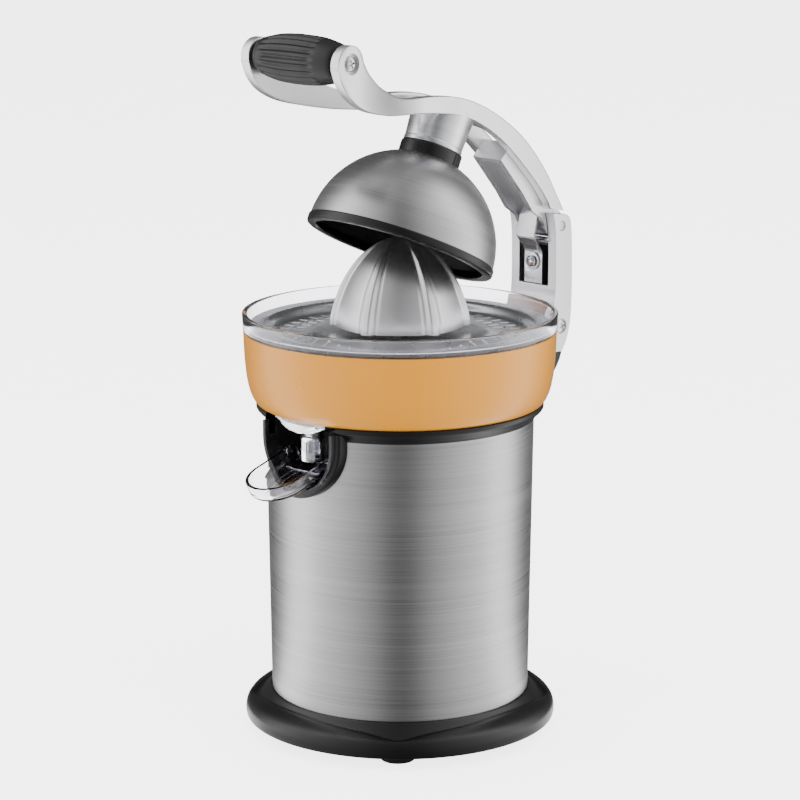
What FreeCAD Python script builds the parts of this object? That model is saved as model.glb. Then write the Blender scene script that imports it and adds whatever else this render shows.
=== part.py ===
import FreeCAD, Part
import math
import os
import Sketcher
from fcgear import fcgear, involute

# Citrus press juicer. Millimetres, +Z up. The spout faces -Y and the column with the lever arm
# stands at +Y. Every piece is drawn round the axis of the housing, with the feet at height 0, and
# the whole is then moved back by axisShift so that the origin is under the middle of its outline.
# The arm is modelled raised, as it stands before the fruit is pressed.

os.makedirs("parts", exist_ok=True)
doc = FreeCAD.newDocument("CitrusPress")
V = FreeCAD.Vector
UP = V(0, 0, 1)

# ---------------------------------------------------------------- driving dimensions
DIMENSIONS = (
    ("footHeight", 5.7, "lower edge of the base above the table"),
    ("footRadius", 9.5, "rubber foot"),
    ("footCircle", 64.7, "distance of each foot from the axis"),
    ("flangeRadius", 82.7, "base flange"),
    ("flangeTop", 21.4, "where the flange meets the steel tube"),
    ("tubeFootRadius", 68.3, "steel tube, outside, at its lower end"),
    ("tubeHeadRadius", 70.4, "steel tube, outside, at its upper end"),
    ("tubeFoot", 14.0, "lower end of the steel tube"),
    ("tubeHead", 168.0, "upper end of the steel tube"),
    ("tubeWall", 0.8, "steel sheet"),
    ("lipRadius", 75.5, "flared lip of the top collar"),
    ("bowlSeat", 175.6, "top of the collar, where the bowl stands"),
    ("recessRadius", 24.2, "inside of the outlet recess"),
    ("frameRadius", 28.5, "outside of the frame round the recess"),
    ("recessLevel", 164.3, "centre of the recess arc"),
    ("bowlFootRadius", 74.0, "bowl where it stands on the collar"),
    ("bandTop", 213.7, "upper edge of the coloured band"),
    ("bandTopRadius", 81.9, "band at its upper edge"),
    ("bandWall", 1.6, "coloured band"),
    ("bowlRim", 223.1, "bowl rim"),
    ("rimRadius", 82.5, "bowl at its rim"),
    ("bowlWall", 3.0, "bowl at its rim"),
    ("strainerLevel", 212.0, "underside of the strainer"),
    ("coneFoot", 216.2, "lower edge of the reamer"),
    ("coneTip", 262.0, "tip of the reamer"),
    ("coneRadius", 36.8, "reamer at its lower edge"),
    ("shaftRadius", 4.0, "drive shaft"),
    ("spoutHalf", 17.0, "half width of the drip spout"),
    ("spoutPivotY", -64.0, "pivot of the drip spout"),
    ("spoutPivotZ", 156.0, "pivot of the drip spout"),
    ("spoutSlope", 18.5, "slope of the open spout, degrees"),
    ("domeRadius", 50.35, "press dome with its rim ring"),
    ("domeTilt", 25.0, "tilt of the raised dome, degrees"),
    ("domeY", -0.9, "centre of the dome rim"),
    ("domeZ", 255.0, "centre of the dome rim"),
    ("neckRadius", 15.7, "press neck at its lower end"),
    ("hingeY", 105.9, "arm hinge pin"),
    ("hingeZ", 257.9, "arm hinge pin"),
    ("pinRadius", 2.5, "arm hinge pin"),
    ("columnHalf", 16.6, "half width of the column and the arm"),
    ("cheekWall", 5.8, "each cheek of the column"),
    ("armWall", 6.0, "each plate of the arm"),
    ("forkHalf", 36.2, "half width of the fork at the grip"),
    ("gripY", -67.0, "grip axis"),
    ("gripZ", 358.4, "grip axis"),
    ("gripRadius", 12.7, "grip at its middle"),
    ("gripHalf", 28.8, "half length of the grip"),
    ("bossRadius", 9.3, "rounded end of each fork plate"),
    ("motorX", -27.0, "motor axis"),
    ("motorY", 22.6, "motor axis"),
    ("motorRadius", 25.0, "motor can"),
    ("gearModule", 1.0, "tooth size of every gear"),
    ("fit", 0.05, "radial clearance of a shaft in its hole"),
    ("axisShift", 6.0, "from the axis of the housing to the middle of the outline"),
)

sheet = doc.addObject("Spreadsheet::Sheet", "Sizes")
for row, (alias, number, note) in enumerate(DIMENSIONS, 1):
    sheet.set(f"A{row}", note)
    sheet.set(f"B{row}", str(number))
    sheet.setAlias(f"B{row}", alias)
doc.recompute()


class Size:
    """A number together with the sheet expression that it comes from."""

    def __init__(self, text, value):
        self.text = text
        self.value = float(value)

    def __add__(self, other):
        other = asSize(other)
        return Size(f"({self.text} + {other.text})", self.value + other.value)

    def __sub__(self, other):
        other = asSize(other)
        return Size(f"({self.text} - {other.text})", self.value - other.value)

    def __mul__(self, other):
        other = asSize(other)
        return Size(f"({self.text} * {other.text})", self.value * other.value)

    def __neg__(self):
        return Size(f"(0 - {self.text})", -self.value)

    def __radd__(self, other):
        return asSize(other) + self

    def __rsub__(self, other):
        return asSize(other) - self


def asSize(number):
    if isinstance(number, Size):
        return number
    return Size(f"({number:.6g})", number)


def size(alias):
    return Size(f"Sizes.{alias}", sheet.get(alias))


footHeight, footRadius, footCircle = size("footHeight"), size("footRadius"), size("footCircle")
flangeRadius, flangeTop = size("flangeRadius"), size("flangeTop")
tubeFootRadius, tubeHeadRadius = size("tubeFootRadius"), size("tubeHeadRadius")
tubeFoot, tubeHead, tubeWall = size("tubeFoot"), size("tubeHead"), size("tubeWall")
lipRadius, bowlSeat = size("lipRadius"), size("bowlSeat")
recessRadius, frameRadius, recessLevel = size("recessRadius"), size("frameRadius"), size("recessLevel")
bowlFootRadius, bandTop, bandTopRadius = size("bowlFootRadius"), size("bandTop"), size("bandTopRadius")
bandWall, bowlRim, rimRadius, bowlWall = size("bandWall"), size("bowlRim"), size("rimRadius"), size("bowlWall")
strainerLevel, coneFoot, coneTip = size("strainerLevel"), size("coneFoot"), size("coneTip")
coneRadius, shaftRadius, spoutHalf = size("coneRadius"), size("shaftRadius"), size("spoutHalf")
spoutPivotY, spoutPivotZ, spoutSlope = size("spoutPivotY"), size("spoutPivotZ"), size("spoutSlope")
domeRadius, domeTilt, domeY, domeZ = size("domeRadius"), size("domeTilt"), size("domeY"), size("domeZ")
neckRadius, hingeY, hingeZ, pinRadius = size("neckRadius"), size("hingeY"), size("hingeZ"), size("pinRadius")
columnHalf, cheekWall, armWall, forkHalf = size("columnHalf"), size("cheekWall"), size("armWall"), size("forkHalf")
gripY, gripZ, gripRadius, gripHalf = size("gripY"), size("gripZ"), size("gripRadius"), size("gripHalf")
bossRadius, motorX, motorY = size("bossRadius"), size("motorX"), size("motorY")
motorRadius, gearModule, fit = size("motorRadius"), size("gearModule"), size("fit")

pieces = []


def place(x=0.0, y=0.0, z=0.0, axis=UP, angle=0.0):
    x, y, z = (asSize(number).value for number in (x, y, z))
    return FreeCAD.Placement(V(x, y, z), FreeCAD.Rotation(axis, angle))


def keep(piece, label, placement=None):
    """Names a finished sub-part, so that it is written to parts/LABEL.step."""
    piece.Label = label
    if placement is not None:
        piece.Placement = placement
    pieces.append(piece)
    return piece


def bind(thing, **sizes):
    for name, number in sizes.items():
        thing.setExpression(name, asSize(number).text)


# ---------------------------------------------------------------- sketches and bodies
def arcCurve(start, middle, end):
    """The arc from start through middle to end, and whether it runs anticlockwise."""
    turn = (middle - start).cross(end - middle).z
    through = Part.Circle(start, middle, end)
    circle = Part.Circle(through.Center, UP, through.Radius)
    first, last = circle.parameter(start), circle.parameter(end)
    if turn < 0:
        first, last = last, first
    return Part.ArcOfCircle(circle, first, last), turn > 0


def pin(sketch, geometry, point, kind, number):
    """Holds one coordinate of a point at a size from the sheet."""
    number = asSize(number)
    if number.value == 0:
        axis = -2 if kind == "DistanceX" else -1
        sketch.addConstraint(Sketcher.Constraint("PointOnObject", geometry, point, axis))
        return
    index = sketch.addConstraint(Sketcher.Constraint(kind, -1, 1, geometry, point, number.value))
    sketch.setExpression(f"Constraints[{index}]", number.text)


def drawLoop(sketch, outline):
    """A closed outline. Each entry is the (u, v) that an edge runs to, or (u, v, midU, midV) where
    that edge is an arc through (midU, midV)."""
    ends = []
    corner = [V(asSize(entry[0]).value, asSize(entry[1]).value, 0) for entry in outline]
    for number, entry in enumerate(outline):
        start, end = corner[number - 1], corner[number]
        if len(entry) == 2:
            ends.append((sketch.addGeometry(Part.LineSegment(start, end)), 1, 2))
            continue
        middle = V(asSize(entry[2]).value, asSize(entry[3]).value, 0)
        arc, anticlockwise = arcCurve(start, middle, end)
        edge = sketch.addGeometry(arc)
        ends.append((edge, 1, 2) if anticlockwise else (edge, 2, 1))
        sketch.addConstraint(Sketcher.Constraint("Radius", edge, arc.Radius))
    for number, (edge, begin, _) in enumerate(ends):
        before, _, finish = ends[number - 1]
        sketch.addConstraint(Sketcher.Constraint("Coincident", before, finish, edge, begin))
    for (edge, _, finish), entry in zip(ends, outline):
        pin(sketch, edge, finish, "DistanceX", entry[0])
        pin(sketch, edge, finish, "DistanceY", entry[1])


def drawCircle(sketch, u, v, radius):
    radius = asSize(radius)
    edge = sketch.addGeometry(Part.Circle(V(asSize(u).value, asSize(v).value, 0), UP, radius.value))
    pin(sketch, edge, 3, "DistanceX", u)
    pin(sketch, edge, 3, "DistanceY", v)
    index = sketch.addConstraint(Sketcher.Constraint("Radius", edge, radius.value))
    sketch.setExpression(f"Constraints[{index}]", radius.text)


def newBody(name):
    return doc.addObject("PartDesign::Body", name + "Body")


def newSketch(body, role, name, loops=(), circles=(), offset=0.0):
    sketch = body.newObject("Sketcher::SketchObject", name + "Sketch")
    plane = next(part for part in body.Origin.OriginFeatures if part.Role == role)
    sketch.AttachmentSupport = [(plane, "")]
    sketch.MapMode = "FlatFace"
    offset = asSize(offset)
    if offset.value:
        sketch.AttachmentOffset = place(z=offset)
        sketch.setExpression("AttachmentOffset.Base.z", offset.text)
    for outline in loops:
        drawLoop(sketch, outline)
    for u, v, radius in circles:
        drawCircle(sketch, u, v, radius)
    return sketch


def turned(name, outline, loops=()):
    """A body of revolution about Z: the outline is in (radius, height)."""
    body = newBody(name)
    sketch = newSketch(body, "XZ_Plane", name, (outline, *loops))
    feature = body.newObject("PartDesign::Revolution", name + "Revolution")
    feature.Profile = sketch
    feature.ReferenceAxis = (sketch, ["V_Axis"])
    feature.Angle = 360
    return body


def padded(name, role, length, loops=(), circles=(), offset=0.0, symmetric=False, body=None):
    body = body or newBody(name)
    feature = body.newObject("PartDesign::Pad", name + "Pad")
    feature.Profile = newSketch(body, role, name, loops, circles, offset)
    feature.SideType = "Symmetric" if symmetric else "One side"
    bind(feature, Length=length)
    return body


def pocketed(body, name, role, loops=(), circles=(), length=None, reverse=False, offset=0.0):
    """Cuts the outlines from the body, both ways through everything unless a length is given."""
    feature = body.newObject("PartDesign::Pocket", name + "Pocket")
    feature.Profile = newSketch(body, role, name, loops, circles, offset)
    if length is None:
        feature.SideType = "Symmetric"
        feature.Type = "ThroughAll"
    else:
        feature.Reversed = reverse
        bind(feature, Length=length)
    return body


# ---------------------------------------------------------------- primitives and booleans
def rod(name, radius, length, placement=None):
    cylinder = doc.addObject("Part::Cylinder", name)
    bind(cylinder, Radius=radius, Height=length)
    if placement is not None:
        cylinder.Placement = placement
    return cylinder


def taper(name, radius1, radius2, length, placement=None):
    cone = doc.addObject("Part::Cone", name)
    bind(cone, Radius1=radius1, Radius2=radius2, Height=length)
    if placement is not None:
        cone.Placement = placement
    return cone


def block(name, x, y, z):
    """A box between the two limits given for each direction."""
    box = doc.addObject("Part::Box", name)
    bind(box, Length=asSize(x[1]) - x[0], Width=asSize(y[1]) - y[0], Height=asSize(z[1]) - z[0])
    box.Placement = place(x[0], y[0], z[0])
    return box


def group(name, members):
    compound = doc.addObject("Part::Compound", name)
    compound.Links = list(members)
    return compound


def cut(name, base, tools):
    result = doc.addObject("Part::Cut", name)
    result.Base = base
    result.Tool = tools[0] if len(tools) == 1 else group(name + "Tools", tools)
    return result


def fuse(name, members):
    result = doc.addObject("Part::MultiFuse", name)
    result.Shapes = list(members)
    return result


def common(name, first, second):
    result = doc.addObject("Part::Common", name)
    result.Base = first
    result.Tool = second
    return result


def ringOfPlaces(count, radius, start=0.0, z=0.0):
    """Equally spaced places round the axis, each turned to face outwards."""
    radius = asSize(radius)
    for number in range(count):
        angle = start + 360.0 * number / count
        turn = math.radians(angle)
        yield place(radius.value * math.cos(turn), radius.value * math.sin(turn), z, UP, angle)


ALONG_X = FreeCAD.Rotation(V(0, 1, 0), 90)
ALONG_Y = FreeCAD.Rotation(V(1, 0, 0), -90)


def alongX(x, y, z):
    """A cylinder placed here starts at x and runs towards +X."""
    x, y, z = (asSize(number).value for number in (x, y, z))
    return FreeCAD.Placement(V(x, y, z), ALONG_X)


def alongY(x, y, z):
    """A cylinder placed here starts at y and runs towards +Y."""
    x, y, z = (asSize(number).value for number in (x, y, z))
    return FreeCAD.Placement(V(x, y, z), ALONG_Y)


def crossSlot(name, arm, width, depth, placement):
    """A cross recess for a screwdriver, cut downwards from its placement."""
    bars = []
    for number, (a, b) in enumerate(((arm, width), (width, arm))):
        box = doc.addObject("Part::Box", f"{name}Bar{number}")
        bind(box, Length=a, Width=b, Height=depth)
        box.Placement = placement.multiply(place(-a / 2, -b / 2, -depth))
        bars.append(box)
    return bars


def panScrew(name, headRadius, headHeight, shankRadius, shankLength, placement):
    """A pan head screw: the shank runs down from the placement and the head stands on it."""
    head = rod(name + "Head", headRadius, headHeight, placement)
    shank = rod(name + "Shank", shankRadius, shankLength, placement.multiply(place(z=-shankLength)))
    slot = crossSlot(name + "Slot", headRadius * 1.1, 0.9, headHeight * 0.6,
                     placement.multiply(place(z=headHeight)))
    return cut(name, fuse(name + "Blank", [head, shank]), slot)


def gearWheel(name, teeth, width, boreRadius, placement, turn=0.0):
    """A spur gear with involute teeth on its own axis, standing on its placement."""
    wires = fcgear.FCWireBuilder()
    involute.CreateExternalGear(wires, gearModule.value, teeth, 20, True)
    outline = Part.Wire([edge.toShape() for edge in wires.wire])
    blank = Part.Face(outline).extrude(V(0, 0, asSize(width).value))
    bore = Part.makeCylinder(asSize(boreRadius).value, asSize(width).value)
    feature = doc.addObject("Part::Feature", name)
    feature.Shape = blank.cut(bore)
    feature.Placement = placement.multiply(place(angle=turn))
    return feature


# ---------------------------------------------------------------- base
def makeBase():
    floor = footHeight
    web = footHeight + 5.8      # the feet stand against this level
    outline = [
        (53, floor), (55, floor), (55, web), (flangeRadius - 3, web), (flangeRadius - 2.3, floor),
        (flangeRadius - 0.5, floor), (flangeRadius, floor + 1.3), (flangeRadius, floor + 3.8),
        (flangeRadius - 2.9, floor + 9.7, flangeRadius - 0.75, floor + 7.3),
        (tubeFootRadius + 1.3, flangeTop - 0.8), (tubeFootRadius + 0.3, flangeTop),
        (tubeFootRadius + 0.3, tubeFoot), (tubeFootRadius - 1, tubeFoot),
        (tubeFootRadius - 1, 24), (tubeFootRadius - 3, 24), (tubeFootRadius - 3, 13.5),
        (51, 13.5), (51, floor + 3.9), (53, floor + 3.9),
    ]
    ring = turned("flange", outline)
    # a shallow valley over each foot, where the inner skirt runs out to the edge
    valley = 46.0
    hollows = [
        doc.addObject("Part::Sphere", f"valley{number}") for number in range(4)
    ]
    for hollow, spot in zip(hollows, ringOfPlaces(4, 78.0, 45.0, 60.0)):
        bind(hollow, Radius=valley)
        hollow.Placement = spot
    glandHole = rod("glandHole", 3.9, 30, alongY(0, 60, 9.8))
    keep(cut("baseFlange", ring, [*hollows, glandHole]), "base_flange")

    feet = []
    for number, spot in enumerate(ringOfPlaces(4, footCircle, 45.0)):
        foot = taper(f"foot{number}", footRadius - 0.8, footRadius, 1.2, spot)
        pad = rod(f"footPad{number}", footRadius, web - 1.2, spot.multiply(place(z=1.2)))
        feet.append(fuse(f"rubberFoot{number}", [foot, pad]))
    keep(group("rubberFeet", feet), "rubber_feet")

    cover = padded("cover", "XY_Plane", 3.0, circles=[(0, 0, 52.7)], offset=floor + 0.9)
    vents = [
        [(x - 1.5, -16), (x + 1.5, -16), (x + 1.5, 16), (x - 1.5, 16)] for x in range(-25, 26, 10)
    ]
    pocketed(cover, "coverVents", "XY_Plane", loops=vents)
    holes = [rod(f"coverHole{n}", 1.7, 8, spot) for n, spot in enumerate(ringOfPlaces(4, 44, 0, floor))]
    keep(cut("bottomCover", cover, holes), "bottom_cover")
    screws = [
        panScrew(f"coverScrew{n}", 3.0, 1.0, 1.6, 3.6,
                 spot.multiply(FreeCAD.Placement(V(), FreeCAD.Rotation(V(1, 0, 0), 180))))
        for n, spot in enumerate(ringOfPlaces(4, 44, 0, floor + 0.9))
    ]
    keep(group("bottomScrews", screws), "bottom_screws")

    gland = turned("gland", [(2.9, 0), (3.9, 0), (3.9, 20), (5.0, 20), (5.0, 22.2), (2.9, 22.2)])
    keep(gland, "mains_gland", alongY(0, 62.9, 9.8))


# ---------------------------------------------------------------- housing
def recessLoop(radius, top):
    """The U of the outlet recess in (x, z): an arc below, straight sides above."""
    radius = asSize(radius)
    side = radius * math.sqrt(0.5)
    return [(-radius, top), (-radius, recessLevel), (0, recessLevel - radius, -side, recessLevel - side),
            (radius, recessLevel, side, recessLevel - side), (radius, top)]


def makeHousing():
    foot, head = tubeFootRadius, tubeHeadRadius
    tube = turned("tube", [(foot - tubeWall, tubeFoot), (foot, tubeFoot), (head, tubeHead),
                           (head - tubeWall, tubeHead)])
    front = padded("tubeOpening", "XZ_Plane", 60, [recessLoop(frameRadius - 1.5, 180)], offset=40)
    boltHoles = [rod(f"tubeBolt{n}", 2.1, 12, alongY(0, 62, level)) for n, level in enumerate((124, 150))]
    keep(cut("steelHousing", tube, [front, *boltHoles]), "steel_housing")

    inner = head - 1.0
    collar = turned("collar", [
        (inner - 2, 160), (inner, 160), (inner, tubeHead), (head + 0.9, tubeHead),
        (head + 1.7, tubeHead + 1.8), (lipRadius, tubeHead + 5.2), (lipRadius, bowlSeat - 0.6),
        (lipRadius - 0.6, bowlSeat), (inner - 2, bowlSeat)])
    gap = padded("collarOpening", "XZ_Plane", 60, [recessLoop(recessRadius + 2.0, 190)], offset=40)
    keep(cut("topCollar", collar, [gap]), "top_collar")

    # the frame stands proud of the steel and the liner runs in behind it
    frameBand = turned("frameBand", [(head + 0.35, 120), (75.2, 120), (75.2, tubeHead),
                                     (head + 0.35, tubeHead)])
    frame = common("frame", frameBand, padded("frameShape", "XZ_Plane", 60,
                                              [recessLoop(frameRadius, tubeHead)], offset=40))
    liner = padded("liner", "XZ_Plane", 28, [recessLoop(recessRadius + 2.0, 172)], offset=44)
    joined = fuse("surroundBlank", [frame, liner])
    hollow = padded("linerHollow", "XZ_Plane", 60, [recessLoop(recessRadius, 180)], offset=46)
    pivots = rod("spoutBore", 2.05, 60, alongX(-30, spoutPivotY, spoutPivotZ))
    keep(cut("outletSurround", joined, [hollow, pivots]), "outlet_surround")

    deck = padded("deck", "XY_Plane", 3, circles=[(0, 0, inner - 2.2)], offset=bowlSeat - 3.4)
    deck = padded("deckBoss", "XY_Plane", 14, circles=[(0, 0, 11)], offset=bowlSeat - 17.4, body=deck)
    pocketed(deck, "deckBore", "XY_Plane", circles=[(0, 0, shaftRadius + fit)])
    slot = block("deckSlot", (-recessRadius - 2.2, recessRadius + 2.2), (-80, -43.8), (150, 180))
    keep(cut("topDeck", deck, [slot]), "top_deck")

    keep(turned("seal", [(shaftRadius + 0.08, bowlSeat - 0.4), (10, bowlSeat - 0.4),
                         (9, bowlSeat + 1.0), (6.6, bowlSeat + 1.0), (5.6, bowlSeat + 3.2),
                         (shaftRadius + 0.08, bowlSeat + 3.2)]), "shaft_seal")


# ---------------------------------------------------------------- bowl
def bowlSide(inset, top, topRadius):
    """The bowl's side from its foot to a height, set inwards by inset: (foot, knee, top)."""
    foot = (bowlFootRadius - inset, bowlSeat)
    knee = (bowlFootRadius + 6.8 - inset, bowlSeat + 17.4, bowlFootRadius + 4.9 - inset, bowlSeat + 8.1)
    return foot, knee, (topRadius - inset, top)


def makeBowl():
    outer = bowlSide(0, bandTop, bandTopRadius)
    inner = bowlSide(bandWall, bandTop, bandTopRadius)
    band = turned("band", [
        outer[0], outer[1], outer[2], inner[2], (inner[1][0], inner[1][1]),
        (inner[0][0], inner[0][1], inner[1][2], inner[1][3])])
    keep(band, "bowl_band")

    wall = bowlWall
    floor = bowlSeat + 1.4
    shell = turned("bowlShell", [
        (7.5, floor), (bowlFootRadius - 4, floor), (bowlFootRadius - 3.5, bowlSeat),
        inner[0], inner[1], inner[2], (bandTopRadius, bandTop), (rimRadius, bowlRim),
        (rimRadius - wall, bowlRim), (bandTopRadius - wall, bandTop),
        (bowlFootRadius + 6.8 - wall, bowlSeat + 17.4),
        (bowlFootRadius - wall - 3, floor + 2.2, bowlFootRadius + 3.4 - wall, bowlSeat + 8.4),
        (9.5, floor + 2.2), (9.5, strainerLevel - 3), (7.5, strainerLevel - 3)])
    tubeEnd = 153.5
    funnelFoot, funnelY = 166.0, -61.5
    funnel = taper("funnel", 6.8, 13.4, floor + 0.4 - funnelFoot, place(0, funnelY, funnelFoot))
    spill = rod("outletTube", 6.8, funnelFoot - tubeEnd, place(0, funnelY, tubeEnd))
    bore = rod("outletBore", 5.2, 40, place(0, funnelY, tubeEnd - 5))
    drain = taper("drain", 5.2, 12.2, floor + 2.4 - funnelFoot, place(0, funnelY, funnelFoot))
    whole = fuse("bowlBlank", [shell, funnel, spill])
    keep(cut("juiceBowl", whole, [bore, drain]), "juice_bowl")

    level = strainerLevel
    plate = turned("strainerPlate", [
        (12, level), (46, level), (48, level - 1.6), (68, level - 1.6), (70.5, level + 3.4),
        (78.95, level + 3.4), (78.95, level + 4.2), (70, level + 4.2), (67.5, level - 0.8),
        (48.3, level - 0.8), (46.3, level + 0.8), (12, level + 0.8)])
    slots = []
    for count, radius, length, shift in ((48, 50.5, 7.0, 0.0), (48, 59.5, 6.5, 3.75)):
        for number, spot in enumerate(ringOfPlaces(count, radius, shift, level - 4)):
            slotBox = doc.addObject("Part::Box", f"slot{count}_{int(radius)}_{number}")
            bind(slotBox, Length=length, Width=1.6, Height=8)
            slotBox.Placement = spot.multiply(place(0, -0.8, 0))
            slots.append(slotBox)
    keep(cut("strainer", plate, slots), "strainer")


# ---------------------------------------------------------------- reamer and drive
RIBS = 8
LIFT = 2.5          # how far the reamer gives when a fruit is pressed on it


def makeReamer():
    top = coneTip
    skin = [
        (0, coneFoot), (coneRadius, coneFoot), (coneRadius - 1.6, top - 34),
        (21, top - 7.6, 30.2, top - 20.4), (0, top, 11.2, top - 2.0)]
    ogive = turned("ogive", skin)
    hollow = turned("ogiveHollow", [
        (0, coneFoot - 1), (coneRadius - 11, coneFoot - 1), (coneRadius - 16, top - 30), (12, top - 9),
        (0, top - 9)])
    # each flute is a leaning round bar, so that the ribs between them run to the tip
    flutes = []
    for number in range(RIBS):
        lean = FreeCAD.Placement(V(), FreeCAD.Rotation(UP, 360.0 * (number + 0.5) / RIBS))
        bar = taper(f"flute{number}", 13.5, 5.0, 52)
        bar.Placement = lean.multiply(place(43.4, 0, coneFoot - 8, V(0, 1, 0), -24))
        flutes.append(bar)
    keep(cut("reamerCone", ogive, [hollow, *flutes]), "reamer_cone")

    core = turned("core", [
        (shaftRadius, coneFoot + 1.8), (11.5, coneFoot + 1.8), (20, coneFoot + 3.6),
        (20, coneFoot + 6), (9, coneFoot + 10), (7.4, top - 9), (shaftRadius, top - 9)])
    keep(core, "reamer_core")

    shaftFoot = 102.0
    keep(rod("driveShaft", shaftRadius, top - 14 - shaftFoot, place(z=shaftFoot)), "drive_shaft")


def makeGears():
    """Motor pinion to idler wheel, idler pinion to output wheel. Every mesh has a little play."""
    play = 0.3
    small, middle, large = 12, 48, 60
    module = gearModule.value
    idlerY = (small + large) / 2 * module + play
    reach = (small + middle) / 2 * module + play
    # the motor axis lies on the circle of the first mesh round the idler
    aside = math.hypot(motorX.value, motorY.value - idlerY)
    towards = V(motorX.value / aside * reach, idlerY + (motorY.value - idlerY) / aside * reach, 0)
    keep(gearWheel("outputGear", large, 8, shaftRadius + fit, place(z=112), 3.0), "output_gear")

    wheel = gearWheel("idlerWheel", middle, 7, 2.5, place(0, idlerY, 102))
    upper = gearWheel("idlerPinion", small, 12, 2.5, place(0, idlerY, 109))
    idler = fuse("idlerGear", [wheel, upper])
    keep(idler, "idler_gear")
    keep(rod("idlerPin", 2.45, 30.0, place(0, idlerY, 97.0)), "idler_pin")

    angle = math.degrees(math.atan2(towards.y - idlerY, towards.x))
    half = 180.0 / small
    phase = angle % (360.0 / middle)        # from the wheel's tooth to the line of centres
    turn = angle + 180.0 + half + phase * middle / small
    pinion = gearWheel("motorPinion", small, 8, 2.5, place(towards.x, towards.y, 101.5), turn)
    keep(pinion, "motor_pinion")
    return idlerY, towards, angle


def makeMotor(idlerY, motorAt):
    x, y = motorAt.x, motorAt.y
    shaft = rod("rotorShaft", 2.5, 84.5, place(x, y, 26))
    keep(shaft, "rotor_shaft")
    stack = rod("armatureStack", 15.5, 34, place(x, y, 44))
    commutator = rod("commutator", 7.5, 9, place(x, y, 35))
    keep(cut("armature", fuse("armatureBlank", [stack, commutator]),
             [rod("armatureBore", 2.5, 60, place(x, y, 30))]), "armature")
    can = rod("motorCanBody", motorRadius, 60, place(x, y, 34))
    room = rod("motorRoom", motorRadius - 5.5, 57, place(x, y, 33))
    bore = rod("motorBore", 2.5 + fit.value, 80, place(x, y, 30))
    keep(cut("motorCan", can, [room, bore]), "motor_can")
    cap = rod("motorCapBody", motorRadius, 5, place(x, y, 29))
    keep(cut("motorCap", cap, [rod("motorCapBore", 2.5 + fit.value, 20, place(x, y, 20))]), "motor_end_cap")

    # a round pan carries the gears, the motor hangs from it and its cover holds the shaft bush
    pan = turned("pan", [(0, 94), (65, 94), (65, 122), (62.5, 122), (62.5, 97), (0, 97)])
    hub = rod("panHub", 9.8, 15, place(z=80))
    bossPin = rod("panBoss", 5, 3, place(0, idlerY, 96.5))
    cups = fuse("panBlank", [pan, hub, bossPin])
    keep(cut("gearCase", cups, [
        rod("sliderBore", 7.6, 20, place(z=83)), rod("stemBore", 2.15, 20, place(z=70)),
        rod("idlerSeat", 2.45, 4, place(0, idlerY, 97)), rod("rotorHole", 6.5, 10, place(x, y, 90))]),
        "gear_case")
    lid = rod("lidPlate", 65, 3, place(z=122))
    neck = rod("lidNeck", 9.5, 20, place(z=124))
    keep(cut("gearCaseCover", fuse("lidBlank", [lid, neck]), [
        rod("bushSeat", 6.5, 40, place(z=118)), rod("idlerTop", 2.5, 20, place(0, idlerY, 115))]),
        "gear_case_cover")
    bush = rod("bushBody", 6.5, 22, place(z=122))
    keep(cut("shaftBush", bush, [rod("bushBore", shaftRadius + fit, 40, place(z=115))]), "shaft_bush")

    posts = [rod(f"post{n}", 4, bowlSeat - 3.4 - 125, spot)
             for n, spot in enumerate(ringOfPlaces(4, 54, 30.0, 125)) if n != 3]
    posts.append(rod("postFront", 4, bowlSeat - 3.4 - 125, place(40, -36, 125)))
    keep(group("supportPosts", posts), "support_posts")

    slider = fuse("sliderBlank", [rod("sliderCup", 7.5, 6, place(z=96)), rod("sliderStem", 2.05, 20, place(z=76))])
    keep(slider, "press_slider")

    wire, coil, turns = 0.6, 5.4, 5
    pitch = 1.8
    helix = Part.makeHelix(pitch, pitch * turns, coil)
    section = Part.Wire(Part.makeCircle(wire, V(coil, 0, 0), V(0, 1, 0)))
    spring = doc.addObject("Part::Feature", "returnSpringShape")
    spring.Shape = Part.Wire(helix).makePipeShell([section], True, True)
    keep(spring, "return_spring", place(z=83.65))

    switch = block("switchBody", (-3.25, 3.25), (-17, 3), (58, 70))
    button = rod("switchButton", 1.2, 3.9, place(z=69.5))
    keep(fuse("startSwitch", [switch, button]), "start_switch")
    bracket = fuse("bracketBlank", [
        block("bracketWall", (3.25, 4.75), (-17, 3), (56, 84)),
        block("bracketEar", (3.25, 9.0), (-17, 3), (84, 85.5))])
    clear = rod("bracketClear", 11.0, 20, place(z=80))
    stays = block("bracketStay", (7.5, 9.0), (-17, -8.5), (85.5, 94))
    keep(fuse("switchBracket", [cut("bracketCut", bracket, [clear]), stays]), "switch_bracket")


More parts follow.
